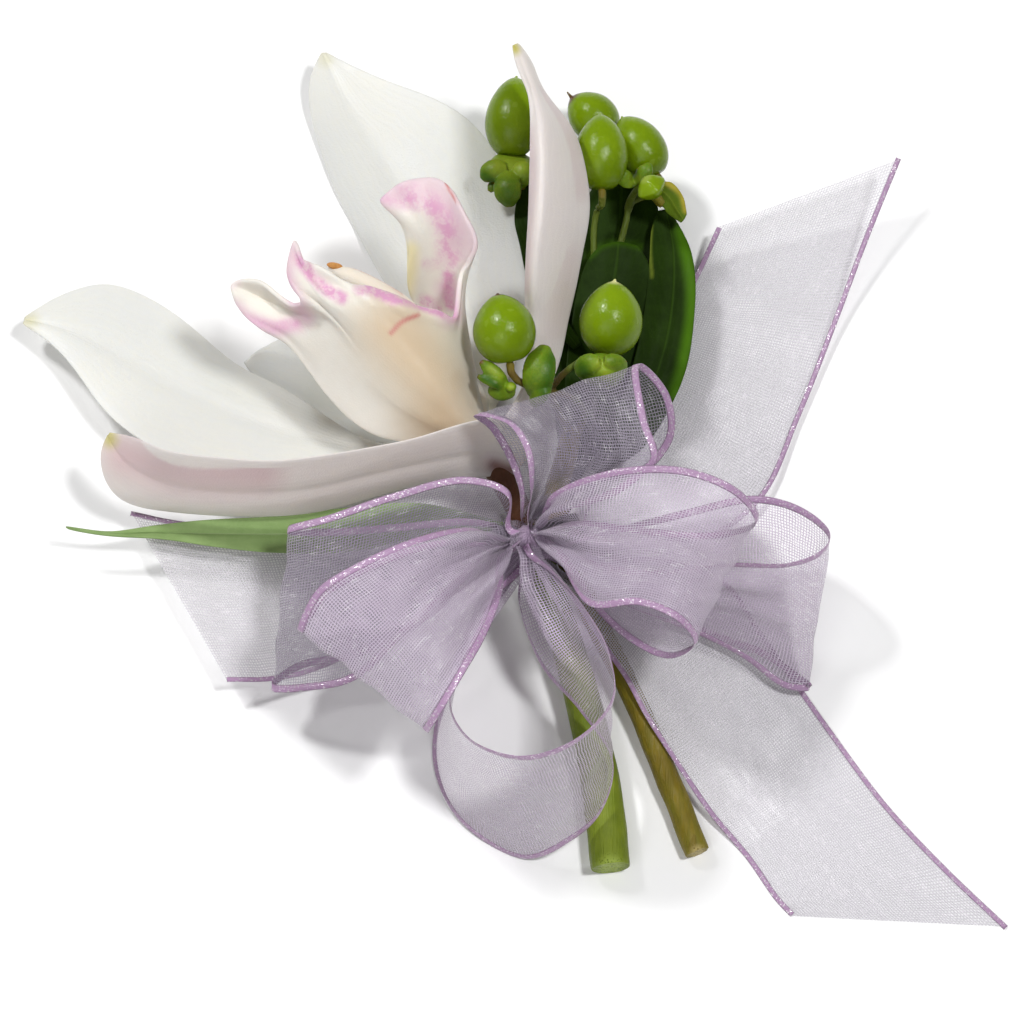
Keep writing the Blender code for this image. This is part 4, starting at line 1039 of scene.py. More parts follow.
def leaf_material(name, colour, vein_colour, edge_colour, dark):
    """A dark leaf: a pale midrib, side veins that run forward, and a waxy shine."""
    material, tree, shader = begin_material(name)
    map_vector, along, across = map_of(tree)
    place = place_on(tree)
    from_rib = number(tree, "ABSOLUTE", number(tree, "SUBTRACT", across, 0.5))
    rib = soft_step(tree, from_rib, 0.035, 0.008)
    slant = number(tree, "SUBTRACT", number(tree, "MULTIPLY", along, 11.0),
                   number(tree, "MULTIPLY", from_rib, 7.0))
    slant = number(tree, "ADD", slant, number(tree, "MULTIPLY", cloud(tree, place, 120.0), 0.9))
    side = number(tree, "MULTIPLY", number(tree, "PINGPONG", slant, 0.5), 2.0)
    side_vein = number(tree, "MULTIPLY", soft_step(tree, side, 0.16, 0.0), 0.14)
    patches = effect(tree, "mottle", place=place, scale=130.0, contrast=0.2)
    net = put(tree, "ShaderNodeTexVoronoi", {"Vector": place, "Scale": 900.0},
              feature="DISTANCE_TO_EDGE")
    net_line = soft_step(tree, net.outputs["Distance"], 0.12, 0.0)
    colours = tint(tree, number(tree, "MULTIPLY", patches["Patch"], 0.6), colour, dark)
    colours = tint(tree, number(tree, "MULTIPLY", net_line, 0.04), colours, vein_colour)
    colours = tint(tree, number(tree, "MULTIPLY", number(tree, "MAXIMUM", rib, side_vein), 0.3),
                   colours, vein_colour)
    # This mask makes the leaf lighter green: a painted highlight on leaf_middle and a lighter band on leaf_right
    colours = tint(tree, number(tree, "MULTIPLY", painted(tree, "shade"), 0.85), colours,
                   seen(70, 112, 10))
    colours = tint(tree, painted(tree, "tip"), colours, edge_colour)
    height = number(tree, "SUBTRACT", number(tree, "MULTIPLY", side, 0.10),
                    number(tree, "MULTIPLY", rib, 0.4))
    height = number(tree, "SUBTRACT", height, number(tree, "MULTIPLY", net_line, 0.06))
    gloss = spread_values(tree, patches["Patch"], 0.42, 0.55)
    dress(tree, shader, colours, gloss, height, 0.00012, Specular_IOR_Level=0.05)
    return material


def berry_material(name, colour):
    """A berry's taut shiny skin: paler at the tip, olive towards the foot (partly its own tone and
    partly painted shade), with faint specks.
    """
    material, tree, shader = begin_material(name)
    map_vector, _, up = map_of(tree)
    place = place_on(tree)
    patches = effect(tree, "mottle", place=place, scale=170.0, contrast=0.22)
    fine = effect(tree, "mottle", place=place, scale=1500.0, contrast=0.12)
    specks = effect(tree, "glitter", place=place, scale=1500.0, share=0.06)
    # Darker olive towards the foot: partly the berry's own tone and partly painted shade
    colours = tint(tree, soft_step(tree, up, 0.15, 0.85), seen(92, 116, 4), colour)
    colours = tint(tree, number(tree, "MULTIPLY", patches["Patch"], 0.3), colours,
                   seen(140, 166, 24))
    colours = tint(tree, number(tree, "MULTIPLY", fine["Patch"], 0.12), colours,
                   seen(104, 134, 12))
    colours = tint(tree, number(tree, "MULTIPLY", specks["Fleck"], 0.12), colours,
                   seen(176, 196, 96))
    colours = tint(tree, painted(tree, "pale"), colours, seen(206, 206, 140))
    colours = tint(tree, painted(tree, "brown"), colours, seen(88, 56, 28))
    height = number(tree, "ADD", number(tree, "MULTIPLY", fine["Patch"], 0.6),
                    number(tree, "MULTIPLY", patches["Patch"], 0.6))
    gloss = spread_values(tree, fine["Patch"], 0.15, 0.22)
    dress(tree, shader, colours, gloss, height, 0.00003, Subsurface_Weight=0.15,
          Subsurface_Scale=0.003, Subsurface_Radius=(0.7, 1.0, 0.2), Specular_IOR_Level=0.26)
    return material


def stem_material(name, colour, light, dark, cut):
    """A cut stem: long fibres, small scars, and pale pith on the painted cut face."""
    material, tree, shader = begin_material(name)
    place = place_on(tree)
    fibre_place = stretched(tree, place, (1.0, 0.06, 1.0), (0, 0, math.radians(-8)))
    fibres = effect(tree, "mottle", place=fibre_place, scale=1100.0, contrast=0.12)
    patches = effect(tree, "mottle", place=place, scale=140.0, contrast=0.2)
    scars = effect(tree, "glitter", place=stretched(tree, place, (1.0, 0.45, 1.0)), scale=900.0,
                   share=0.05)
    pith = put(tree, "ShaderNodeTexVoronoi", {"Vector": place, "Scale": 2600.0})
    colours = tint(tree, number(tree, "MULTIPLY", fibres["Patch"], 0.35), colour, light)
    colours = tint(tree, number(tree, "MULTIPLY", patches["Patch"], 0.55), colours, dark)
    colours = tint(tree, number(tree, "MULTIPLY", scars["Fleck"], 0.4), colours, dark)
    colours = tint(tree, painted(tree, "tip"), colours, light)
    # On the orchid stem the shade mask is painted shade under the bow, and brown is partly its own reddish brown
    # and partly painted shade
    colours = tint(tree, painted(tree, "shade"), colours, dark)
    colours = tint(tree, painted(tree, "brown"), colours, seen(94, 58, 36))
    dots = soft_step(tree, pith.outputs["Distance"], 0.15, 0.45)
    cut_colour = tint(tree, dots, dark, cut)
    colours = tint(tree, painted(tree, "cut"), colours, cut_colour)
    height = number(tree, "ADD", fibres["Patch"], number(tree, "MULTIPLY", scars["Fleck"], -0.6))
    gloss = spread_values(tree, fibres["Patch"], 0.36, 0.55)
    dress(tree, shader, colours, gloss, height, 0.00008, Specular_IOR_Level=0.25)
    return material


def organza_material(name, colour, thread, cover, shade):
    """Sheer ribbon: fine shiny threads with open squares between them. Its threads scatter
    light, so its shadow is denser than what is seen through it, by shade."""
    material, tree, shader = begin_material(name)
    sizes = bpy.context.scene.corsage_sizes
    vector, _, _ = map_of(tree)
    weave = effect(tree, "weave", map=vector, spacing=sizes.thread_spacing, thread=thread)
    cloudy = effect(tree, "mottle", place=vector, scale=90.0, contrast=0.25)
    streaks = effect(tree, "mottle", place=stretched(tree, vector, (30.0, 1.0, 1.0)), scale=60.0,
                     contrast=0.15)
    fabric = tint(tree, number(tree, "MULTIPLY", cloudy["Patch"], 0.2), colour,
                  seen(232, 228, 235))
    fabric = tint(tree, number(tree, "MULTIPLY", streaks["Patch"], 0.15), fabric,
                  seen(194, 176, 202))
    # Painted glints: white flecks in the threads' colour stand in for their sparkle
    painted_glints = effect(tree, "glitter", place=stretched(tree, vector, (1.0, 0.4, 1.0)),
                    scale=2600.0, share=0.12)
    fabric = tint(tree, number(tree, "MULTIPLY", painted_glints["Fleck"], 0.6), fabric,
                  seen(246, 240, 248))
    cover = number(tree, "ADD", number(tree, "MULTIPLY", weave["Cover"], cover), 0.07)
    light_path = put(tree, "ShaderNodeLightPath")
    scattered = number(tree, "MULTIPLY", light_path.outputs["Is Shadow Ray"], shade)
    cover = number(tree, "ADD", cover, scattered, clamp=True)
    tree.links.new(cover, shader.inputs["Alpha"])
    gloss = spread_values(tree, streaks["Patch"], 0.30, 0.45)
    dress(tree, shader, fabric, gloss, weave["Height"], 0.00006, Specular_IOR_Level=0.6,
          Sheen_Weight=0.3, Sheen_Roughness=0.4)
    return material


def band_material():
    """The ribbon's wired band: satin threads along it, with a fine glittering one among them."""
    material, tree, shader = begin_material("lilac_band")
    colours = bpy.context.scene.corsage_colours
    vector, around, along = map_of(tree)
    place = place_on(tree)
    threads = number(tree, "MULTIPLY", number(tree, "PINGPONG", number(
        tree, "MULTIPLY", around, 1 / 0.00022), 0.5), 2.0)
    twist = number(tree, "MULTIPLY", number(tree, "PINGPONG", number(
        tree, "MULTIPLY", along, 1 / 0.00032), 0.5), 2.0)
    flecks = effect(tree, "glitter", place=place, scale=6000.0, share=0.2)
    patches = effect(tree, "mottle", place=place, scale=300.0, contrast=0.2)
    satin = tint(tree, number(tree, "MULTIPLY", patches["Patch"], 0.4), tuple(colours.band),
                 seen(156, 120, 160))
    satin = tint(tree, number(tree, "MULTIPLY", threads, 0.35), satin, seen(206, 180, 208))
    # White flecks: partly the band's own metallic thread and partly painted glints
    satin = tint(tree, flecks["Fleck"], satin, seen(252, 244, 252))
    tree.links.new(number(tree, "MULTIPLY", flecks["Fleck"], 0.5), shader.inputs["Metallic"])
    gloss = spread_values(tree, flecks["Fleck"], 0.42, 0.2)
    height = number(tree, "ADD", threads, number(tree, "MULTIPLY", twist, 0.5))
    dress(tree, shader, satin, gloss, height, 0.00003, Sheen_Weight=0.3, Sheen_Roughness=0.4)
    return material


def crepe_material():
    """Florist's tape: stretched waxed crepe with fine wrinkles across it."""
    material, tree, shader = begin_material("crepe_tape")
    vector, across, along = map_of(tree)
    place = place_on(tree)
    creases = effect(tree, "veins", map=vector, count=60.0, waver=3.0)
    patches = effect(tree, "mottle", place=place, scale=260.0, contrast=0.2)
    colours = tint(tree, number(tree, "MULTIPLY", patches["Patch"], 0.6), seen(70, 96, 44),
                   seen(52, 74, 34))
    colours = tint(tree, number(tree, "MULTIPLY", creases["Vein"], 0.4), colours,
                   seen(104, 130, 72))
    dress(tree, shader, colours, spread_values(tree, patches["Patch"], 0.6, 0.8),
          creases["Ridge"], 0.00015)
    return material


def wire_material():
    """Green lacquered wire with small worn spots."""
    material, tree, shader = begin_material("lacquered_wire")
    place = place_on(tree)
    worn = effect(tree, "glitter", place=place, scale=1800.0, share=0.12)
    patches = effect(tree, "mottle", place=place, scale=500.0, contrast=0.2)
    colours = tint(tree, number(tree, "MULTIPLY", patches["Patch"], 0.5), seen(66, 88, 52),
                   seen(40, 58, 34))
    colours = tint(tree, worn["Fleck"], colours, seen(150, 152, 148))
    tree.links.new(worn["Fleck"], shader.inputs["Metallic"])
    dress(tree, shader, colours, spread_values(tree, patches["Patch"], 0.35, 0.5),
          patches["Patch"], 0.00003)
    return material


def wavy(seed, amount, keel, bumps=3.0):
    """How a petal swells: a shallow groove along its rib and edges that wave."""
    def swell(along, across):
        side = 2 * across - 1
        taper = math.sin(math.pi * min(along * 0.94 + 0.03, 1)) ** 0.5
        groove = -keel * math.exp(-(side / 0.14) ** 2) * taper
        edge = abs(side) ** 3 * noise.noise(Vector((along * bumps * 2, seed + math.copysign(4, side),
                                                    0.3)))
        soft = noise.noise(Vector((along * 3, side * 1.4, seed + 9.5))) * 0.35
        return groove + amount * taper * (edge * 1.8 + soft)
    return swell


def petal(name, outlines, swell):
    """One petal or sepal of the bloom."""
    sizes = bpy.context.scene.corsage_sizes
    rows = swollen(blade_rows(outlines, PETAL_GRID), swell)
    rows = lifted(rows, sizes.petal_thickness / 2 + 0.00003)
    item = grid_through(name + "_skin", rows)
    thicken(item, PETAL_GRID, sizes.petal_thickness, 0.45, 2)
    return item


def leaf(name, outlines, swell):
    """One leaf of the sprig, or the long narrow leaf."""
    sizes = bpy.context.scene.corsage_sizes
    item = grid_through(name + "_skin", swollen(blade_rows(outlines, LEAF_GRID), swell))
    thicken(item, LEAF_GRID, sizes.leaf_thickness, 0.5, 2)
    return item


class CORSAGE_OT_petals(bpy.types.Operator):
    """Model the two petals and three sepals of the bloom"""
    bl_idname = "corsage.petals"
    bl_label = "Petals"

    def execute(self, context):
        colours = context.scene.corsage_colours
        waver = context.scene.corsage_sizes.edge_waver
        # The cream shade colour is a painted shade and the blush one the sepals' own pink; the lighter tip
        # colours also lighten the bases as painted light
        cream = petal_material("cream_petal", tuple(colours.petal), seen(234, 230, 208),
                               seen(202, 202, 186), 0.75)
        blush = petal_material("blush_petal", tuple(colours.blush), seen(240, 234, 224),
                               seen(196, 162, 170), 0.85)
        for order, (name, outlines) in enumerate(PETALS.items()):
            item = petal(name, outlines, wavy(order * 7.3, waver, 0.0005))
            paint(item, "shade", PETAL_SHADES[name])
            paint(item, "tip", PETAL_TIPS[name])
            paint(item, "brown", PETAL_FEET.get(name, []))
            raised = name in ("sepal_lower_left", "sepal_upper_right")
            stand_for(item, name, slot="petal_blush" if raised else "petal_white",
                      materials=[blush if raised else cream])
        return {"FINISHED"}


class CORSAGE_OT_lip(bpy.types.Operator):
    """Model the lip: an open trough with a tongue, a pointed tip and a tall marked lobe"""
    bl_idname = "corsage.lip"
    bl_label = "Lip"

    def execute(self, context):
        sizes = context.scene.corsage_sizes
        rows = swollen(blade_rows(LIP_LINES, LIP_GRID), lip_swell)
        item = grid_through("orchid_lip_skin", rows)
        finish_with(item, "SMOOTH", factor=0.5, iterations=4)
        calm_body(item)
        thicken(item, LIP_GRID, sizes.lip_thickness, 0.6, 1, material_offset=1)
        for name, strokes in LIP_PAINT.items():
            paint(item, name, strokes)
        outer = lip_material("lip_outside", seen(236, 231, 221), False)
        inner = lip_material("lip_inside", seen(236, 228, 226), True)
        stand_for(item, "orchid_lip", slot="lip", materials=[outer, inner])
        return {"FINISHED"}


def calm_body(item):
    """Smooth the lip's body, and leave its rim and its two sides as they are."""
    along, across = LIP_GRID
    group = item.vertex_groups.new(name="body")
    for index in range(len(item.data.vertices)):
        row, column = divmod(index, along + 1)
        share = row / across
        weight = ease(0.88, 0.55, column / along) * ease(0, 0.06, share) * ease(1, 0.94, share)
        if column:
            group.add([index], weight, "REPLACE")
    finish_with(item, "SMOOTH", factor=0.5, iterations=80, vertex_group="body")
    item.vertex_groups.clear()


def lip_swell(along, across):
    """The lip's edge is thinly ruffled, most at its rim."""
    ruffle = noise.noise(Vector((across * 26, along * 2, 4.1))) * 0.0009
    return ruffle * ease(0.62, 1.0, along)


def ring_places(centre, along, radius, squash=1.0, lumps=0.0, seed=0.0):
    """Places on a ring round a stem that runs along a direction."""
    side = along.cross(Vector((0.2, 0.1, 1))).normalized()
    up = side.cross(along)
    places = []
    for step in range(STEM_SIDES):
        angle = math.tau * step / STEM_SIDES
        reach = radius
        if lumps:
            reach *= 1 + lumps * noise.noise(Vector((math.cos(angle) * 1.3, math.sin(angle) * 1.3,
                                                     seed)))
        places.append(centre + side * math.cos(angle) * reach
                      + up * math.sin(angle) * reach * squash)
    return places


def extruded_stem(name, points, radii, count, lumps=0.03, close_ends=True):
    """A stem: a round face pushed out ring by ring along its way, with both ends cut flat."""
    line = spread(points, count)
    clear_choice()
    bpy.ops.mesh.primitive_circle_add(vertices=STEM_SIDES, radius=radii[0], fill_type="NGON",
                                      location=line[0])
    item = name_piece(name)
    rings = []
    for step, centre in enumerate(line):
        ahead = line[min(step + 1, count)] - line[max(step - 1, 0)]
        amount = step / count * (len(radii) - 1)
        low = min(int(amount), len(radii) - 2)
        radius = radii[low] + (radii[low + 1] - radii[low]) * (amount - low)
        rings.append(ring_places(centre, ahead.normalized(), radius, 1.0, lumps, step * 0.35))
    pull_points(item, rings[0])
    bpy.ops.object.mode_set(mode="EDIT")
    bpy.ops.mesh.select_all(action="SELECT")
    for here, there in zip(line, line[1:]):
        bpy.ops.mesh.extrude_region_move(TRANSFORM_OT_translate={"value": there - here})
    bpy.ops.object.mode_set(mode="OBJECT")
    pull_points(item, [place for ring in rings for place in ring])
    settle(item)
    face_outwards(item)
    cut_ends(item, min(radii))
    return item


def face_outwards(item):
    """Merge what lies double and turn the faces of a piece outwards."""
    clear_choice()
    item.select_set(True)
    bpy.context.view_layer.objects.active = item
    bpy.ops.object.mode_set(mode="EDIT")
    bpy.ops.mesh.select_all(action="SELECT")
    bpy.ops.mesh.remove_doubles(threshold=0.000002)
    bpy.ops.mesh.normals_make_consistent(inside=False)
    bpy.ops.mesh.select_all(action="DESELECT")
    bpy.ops.object.mode_set(mode="OBJECT")


def cut_ends(item, radius):
    """Give each flat cut end a rim and a face that lies a little deeper."""
    bpy.ops.object.mode_set(mode="EDIT")
    bpy.ops.mesh.select_mode(type="FACE")
    bpy.ops.mesh.select_all(action="DESELECT")
    shape = bmesh.from_edit_mesh(item.data)
    for face in shape.faces:
        if len(face.verts) == STEM_SIDES:
            face.select_set(True)
    bpy.ops.mesh.inset(thickness=radius * 0.12, depth=0)
    bpy.ops.mesh.inset(thickness=radius * 0.14, depth=-radius * 0.04)
    bpy.ops.mesh.inset(thickness=radius * 0.30, depth=radius * 0.015)
    bpy.ops.object.mode_set(mode="OBJECT")


class CORSAGE_OT_orchid_stem(bpy.types.Operator):
    """Model the orchid's thick cut stem"""
    bl_idname = "corsage.orchid_stem"
    bl_label = "Orchid stem"

    def execute(self, context):
        item = extruded_stem("orchid_stem_skin", trace(ORCHID_STEM), ORCHID_STEM_RADII, 60, 0.05)
        round_off(item, 1)
        paint(item, "cut", [([ORCHID_STEM_CUT], 2.7, 1.6)])
        # Painted shade where the stem runs under the bow
        paint(item, "shade", [([(553, 600, 8), (530, 535, 9)], 9, 0.5)])
        # Brown at the stem's top: partly its own reddish brown and partly painted shade under the sepals
        paint(item, "brown", [([(488, 440, 12.5), (506, 478, 11), (518, 512, 9.5)], 7, 1.3)])
        colour = tuple(context.scene.corsage_colours.stem)
        fresh = stem_material("fresh_stem", colour, seen(136, 152, 34), seen(80, 100, 12),
                              seen(150, 168, 66))
        stand_for(item, "orchid_stem", slot="orchid_stem", materials=[fresh])
        return {"FINISHED"}


class CORSAGE_OT_berry_sprig_stem(bpy.types.Operator):
    """Model the berry sprig's woody stem with its green twigs, grown together"""
    bl_idname = "corsage.sprig_stem"
    bl_label = "Sprig stem"

    def execute(self, context):
        thin = SPRIG_STEM_RADIUS * 0.6
        item = extruded_stem("hypericum_stem_skin", trace(SPRIG_STEM),
                             (SPRIG_STEM_RADIUS * 1.06, SPRIG_STEM_RADIUS * 0.97,
                              SPRIG_STEM_RADIUS * 1.02, SPRIG_STEM_RADIUS * 0.95, thin), 60, 0.10)
        twigs = []
        for name in TWIGS:
            way = twig_way(name)
            radii = (TWIG_RADIUS * 1.15, TWIG_RADIUS * 0.9, TWIG_RADIUS * 0.85, TWIG_RADIUS * 1.1)
            twigs.append(extruded_stem("twig_to_" + name, way, radii, 16, 0.08))
        clear_choice()
        for twig in twigs:
            twig.select_set(True)
        item.select_set(True)
        context.view_layer.objects.active = item
        bpy.ops.object.join()
        finish_with(item, "REMESH", mode="VOXEL", voxel_size=0.00022)
        finish_with(item, "SMOOTH", factor=0.6, iterations=6)
        bpy.ops.object.shade_smooth()
        paint(item, "cut", [([SPRIG_STEM_CUT], 1.7, 1.6)])
        paint(item, "tip", [(TWIGS[name][1:], 5, 0.9) for name in TWIGS])
        paint(item, "brown", [(TWIGS["berry_5"][2:] + [(512, 374, 23)], 1.2, 0.55),
                              (TWIGS["berry_6"][1:3], 2.2, 0.6)])
        colour = seen(136, 120, 34)
        woody = stem_material("woody_stem", colour, seen(76, 96, 24), seen(104, 86, 22),
                              seen(176, 158, 96))
        stand_for(item, "hypericum_stem", slot="sprig_stem", materials=[woody])
        return {"FINISHED"}


def berry_radius(height, width, length):
    """Half the width of a berry at a height over its middle: egg shaped, fuller at its foot."""
    share = max(-1, min(1, 2 * height / length))
    return width / 2 * math.sqrt(1 - share ** 2) * (1 - 0.07 * share)


def berry_frame(name):
    """Middle, axis, width and length of a berry."""
    middle, tip, width, length = BERRIES[name]
    start = table_point(*middle)
    axis = (table_point(*tip) - start).normalized()
    return start, axis, width * PICTURE_UNIT, length * PICTURE_UNIT


def twig_way(name):
    """A twig's way from the stem to its berry's foot."""
    middle, axis, width, length = berry_frame(name)
    reach = length * 0.46
    straight = length / 2 + 3 * TWIG_RADIUS
    return trace(TWIGS[name]) + [middle - axis * straight, middle - axis * reach]


def ball(name, place, size, turn=(0, 0, 0), segments=36, rings=24):
    """A ball of a size at a place, and where its points are on a ball of radius 1."""
    clear_choice()
    bpy.ops.mesh.primitive_uv_sphere_add(segments=segments, ring_count=rings, radius=0.5,
                                         location=place, rotation=turn, scale=size)
    item = name_piece(name)
    spots = [Vector([2 * part / whole for part, whole in zip(point.co, size)])
             for point in item.data.vertices]
    return item, spots


def berry(name, seed, stub):
    """One berry: a ball pulled to an egg with three faint seams, a point and a withered stub."""
    middle, axis, width, length = berry_frame(name)
    turn = axis.to_track_quat("Z", "Y")
    item, spots = ball(name + "_skin", middle, (width, width, length), turn.to_euler())
    places = []
    for spot in spots:
        share = max(-1, min(1, spot.z))
        height = share * length / 2
        angle = math.atan2(spot.y, spot.x)
        reach = berry_radius(height, width, length)
        seam = 0.030 * math.exp(-((share - 0.75) / 0.45) ** 2) * abs(math.sin(1.5 * (angle + seed)))
        lump = 0.016 * noise.noise(Vector((math.cos(angle), math.sin(angle), share * 1.2 + seed)))
        reach *= 1 + lump + seam - 0.05 * math.exp(-((share - 0.72) / 0.3) ** 2)
        if share > 0.9:
            height += length * 0.02 * (share - 0.9) / 0.1
        if share < -0.95:
            height += length * 0.025
        if name == "berry_bud":
            reach *= 1.04 + 0.07 * math.cos(4 * angle + 0.6)
            height = math.copysign(abs(share) ** 1.5, share) * length / 2
        offset = Vector((math.cos(angle) * reach, math.sin(angle) * reach, height))
        places.append(middle + turn @ offset)
    pull_points(item, places)
    grow_stub(item, axis, stub)
    settle(item)
    round_off(item, 1)
    return item


def grow_stub(item, axis, stub):
    """Pull a small withered stub out of a berry's tip."""
    bpy.ops.object.mode_set(mode="EDIT")
    bpy.ops.mesh.select_mode(type="FACE")
    bpy.ops.mesh.select_all(action="DESELECT")
    shape = bmesh.from_edit_mesh(item.data)
    top = max(shape.verts, key=lambda point: point.co.z)
    for face in top.link_faces:
        face.select_set(True)
    tip = item.matrix_world @ top.co
    lean = axis + Vector((0.25, -0.1, 0.1))
    for rise, size in ((0.12, 0.55), (0.44, 0.75), (0.44, 0.7)):
        bpy.ops.mesh.extrude_region_move(TRANSFORM_OT_translate={"value": lean * stub * rise})
        tip = tip + lean * stub * rise
        bpy.ops.transform.resize(value=(size, size, size), center_override=tip)
    bpy.ops.object.mode_set(mode="OBJECT")


class CORSAGE_OT_berries(bpy.types.Operator):
    """Model the six berries and the bud"""
    bl_idname = "corsage.berries"
    bl_label = "Berries"

    def execute(self, context):
        skin = berry_material("berry_skin", tuple(context.scene.corsage_colours.berry))
        for order, name in enumerate(BERRIES):
            item = berry(name, order * 2.1, BERRY_STUBS[name])
            middle, axis, width, length = berry_frame(name)
            tip = middle + axis * length * 0.53
            reach = 0.0007 + BERRY_STUBS[name]
            paint_near(item, "brown", tip, reach, BERRY_SCARS[name])
            paint_near(item, "pale", tip, 0.0014, BERRY_TIPS[name])
            stand_for(item, name, slot="berry", materials=[skin])
        return {"FINISHED"}


def paint_near(item, name, place, reach, strength):
    """Write a mask on a piece: its strength at a place, falling to 0 at its reach."""
    mask = [strength * (1 - ease(0.4, 1.0, (point.co - place).length / reach))
            for point in item.data.vertices]
    attribute = item.data.attributes.new(name, "FLOAT", "POINT")
    attribute.data.foreach_set("value", mask)


def sepal_rows(spine, widths, cup, facing):
    """Rows of places for a small leaf-like sepal round a line of places."""
    line = spread(spine, 10)
    rows = [[] for _ in range(7)]
    for step, place in enumerate(line):
        ahead = (line[min(step + 1, 10)] - line[max(step - 1, 0)]).normalized()
        side = ahead.cross(facing).normalized()
        up = side.cross(ahead)
        amount = step / 10 * (len(widths) - 1)
        low = min(int(amount), len(widths) - 2)
        half = widths[low] + (widths[low + 1] - widths[low]) * ease(0, 1, amount - low)
        for row in range(7):
            share = row / 3 - 1
            rows[row].append(place + side * share * half + up * cup * (share ** 2 - 0.5) * half)
    return rows


def sepal(name, spine, widths, cup, facing):
    """One sepal of a cup."""
    item = grid_through(name, sepal_rows(spine, widths, cup, facing))
    thicken(item, (10, 6), 0.0004, 0.5, 2)
    return item


def joined(name, pieces):
    """Several meshes as one piece."""
    clear_choice()
    for item in pieces:
        item.select_set(True)
    bpy.context.view_layer.objects.active = pieces[0]
    bpy.ops.object.join()
    return name_piece(name)


class CORSAGE_OT_calyxes(bpy.types.Operator):
    """Model the cups of sepals under the berries"""
    bl_idname = "corsage.calyxes"
    bl_label = "Calyxes"

    def execute(self, context):
        green = plant_material("sepal_green", seen(100, 130, 18), seen(146, 168, 44),
                               seen(52, 92, 14), 260.0, 0.36, 0.00003, 0.05,
                               Subsurface_Weight=0.15, Subsurface_Scale=0.002,
                               Specular_IOR_Level=0.25)
        for name in CALYXES:
            pieces = [calyx_cup(name, *cup) for cup in CALYX_CUPS[name]]
            for points, half in CALYX_SEPALS[name]:
                spine = trace(points)
                facing = Vector((-0.1, -0.25, 1))
                widths = [half / 1000 * share for share in (0.55, 0.95, 1.05, 0.95, 0.35)]
                pieces.append(sepal("sepal_of_" + name, spine, widths, -0.4, facing))
            item = joined("calyx_" + name[-1] + "_sepals", pieces)
            finish_with(item, "REMESH", mode="VOXEL", voxel_size=0.00014)
            finish_with(item, "SMOOTH", factor=0.5, iterations=8)
            bpy.ops.object.shade_smooth()
            for mask, strokes in CALYX_PAINT[name].items():
                paint(item, mask, strokes)
            stand_for(item, "calyx_" + name[-1], slot="calyx", materials=[green])
        return {"FINISHED"}


def calyx_cup(name, middle, radii):
    """A cup that sepals grow from."""
    place = table_point(*middle)
    item, spots = ball("cup_of_" + name, place, [2 * radius for radius in radii], (0, 0, 0), 24, 14)
    places = []
    for spot in spots:
        lump = 1 + 0.12 * noise.noise(spot * 1.3 + place * 300)
        places.append(place + Vector([part * radius * lump for part, radius in zip(spot, radii)]))
    pull_points(item, places)
    settle(item)
    round_off(item, 1)
    return item


class CORSAGE_OT_leaves(bpy.types.Operator):
    """Model the sprig's dark leaves and the long narrow leaf"""
    bl_idname = "corsage.leaves"
    bl_label = "Leaves"

    def execute(self, context):
        colour = tuple(context.scene.corsage_colours.leaf)
        dark = leaf_material("dark_leaf", colour, seen(56, 84, 18), seen(110, 124, 40),
                             seen(18, 32, 4))
        grassy = leaf_material("narrow_leaf_green", seen(138, 162, 106), seen(176, 190, 150),
                               seen(120, 150, 70), seen(112, 138, 80))
        olive = leaf_material("small_leaf_olive", seen(90, 112, 26), seen(128, 142, 40),
                              seen(168, 152, 56), seen(52, 78, 14))
        for order, (name, outlines) in enumerate(LEAVES.items()):
            item = leaf(name, outlines, wavy(order * 5.1 + 2, 0.0004, 0.0004))
            if name == "leaf_middle":
                front = leaf("front_leaf", FRONT_LEAF, wavy(9.4, 0.0004, 0.0004))
                item = joined(name + "_skin", [item, front])
            paint(item, "shade", LEAF_LIGHTER_STROKES.get(name, []))
            paint(item, "tip", LEAF_EDGES.get(name, []))
            finish = {"narrow_leaf": grassy, "leaf_small": olive}.get(name, dark)
            stand_for(item, name, slot="leaf", materials=[finish])
        return {"FINISHED"}


class CORSAGE_OT_column(bpy.types.Operator):
    """Model the column inside the lip, with its orange cap"""
    bl_idname = "corsage.column"
    bl_label = "Column"

    def execute(self, context):
        item = extruded_stem("orchid_column_skin", trace(COLUMN_PATH), COLUMN_RADII, 30, 0.04)
        round_off(item, 1)
        paint(item, "shade", [([(402, 294, 26.6), (384, 281, 28), (364, 271, 28.8),
                                (348, 265, 28.8)], 0.5, 0.9)])
        cream = petal_material("column_cream", seen(240, 234, 222), seen(236, 224, 206),
                               seen(206, 160, 150), 0.9)
        stand_for(item, "orchid_column", slot="petal_white", materials=[cream])
        stand_for(anther_cap(), "anther_cap", slot="anther", materials=[anther_material()])
        return {"FINISHED"}


def anther_cap():
    """The orange cap on the column's end: a ball with a crease down its middle."""
    place = table_point(*ANTHER_CAP)
    size = [radius * 2 for radius in ANTHER_CAP_RADII]
    turn = Euler((0, 0, math.radians(-12)))
    item, spots = ball("anther_cap_skin", place, size, turn, 28, 18)
    places = []
    for spot in spots:
        crease = 1 - 0.22 * math.exp(-(spot.x / 0.16) ** 2) * max(spot.z, 0)
        lump = crease * (1 + 0.10 * noise.noise(spot * 1.6))
        offset = Vector([part * lump * radius for part, radius in zip(spot, ANTHER_CAP_RADII)])
        offset.rotate(turn)
        places.append(place + offset)
    pull_points(item, places)
    settle(item)
    round_off(item, 1)
    return item


def anther_material():
    """Waxy orange, mottled between a lighter and a darker orange."""
    return plant_material("anther_wax", seen(208, 146, 66), seen(228, 186, 120), seen(168, 100, 34),
                          700.0, 0.42, 0.00006, Subsurface_Weight=0.15, Subsurface_Scale=0.001)


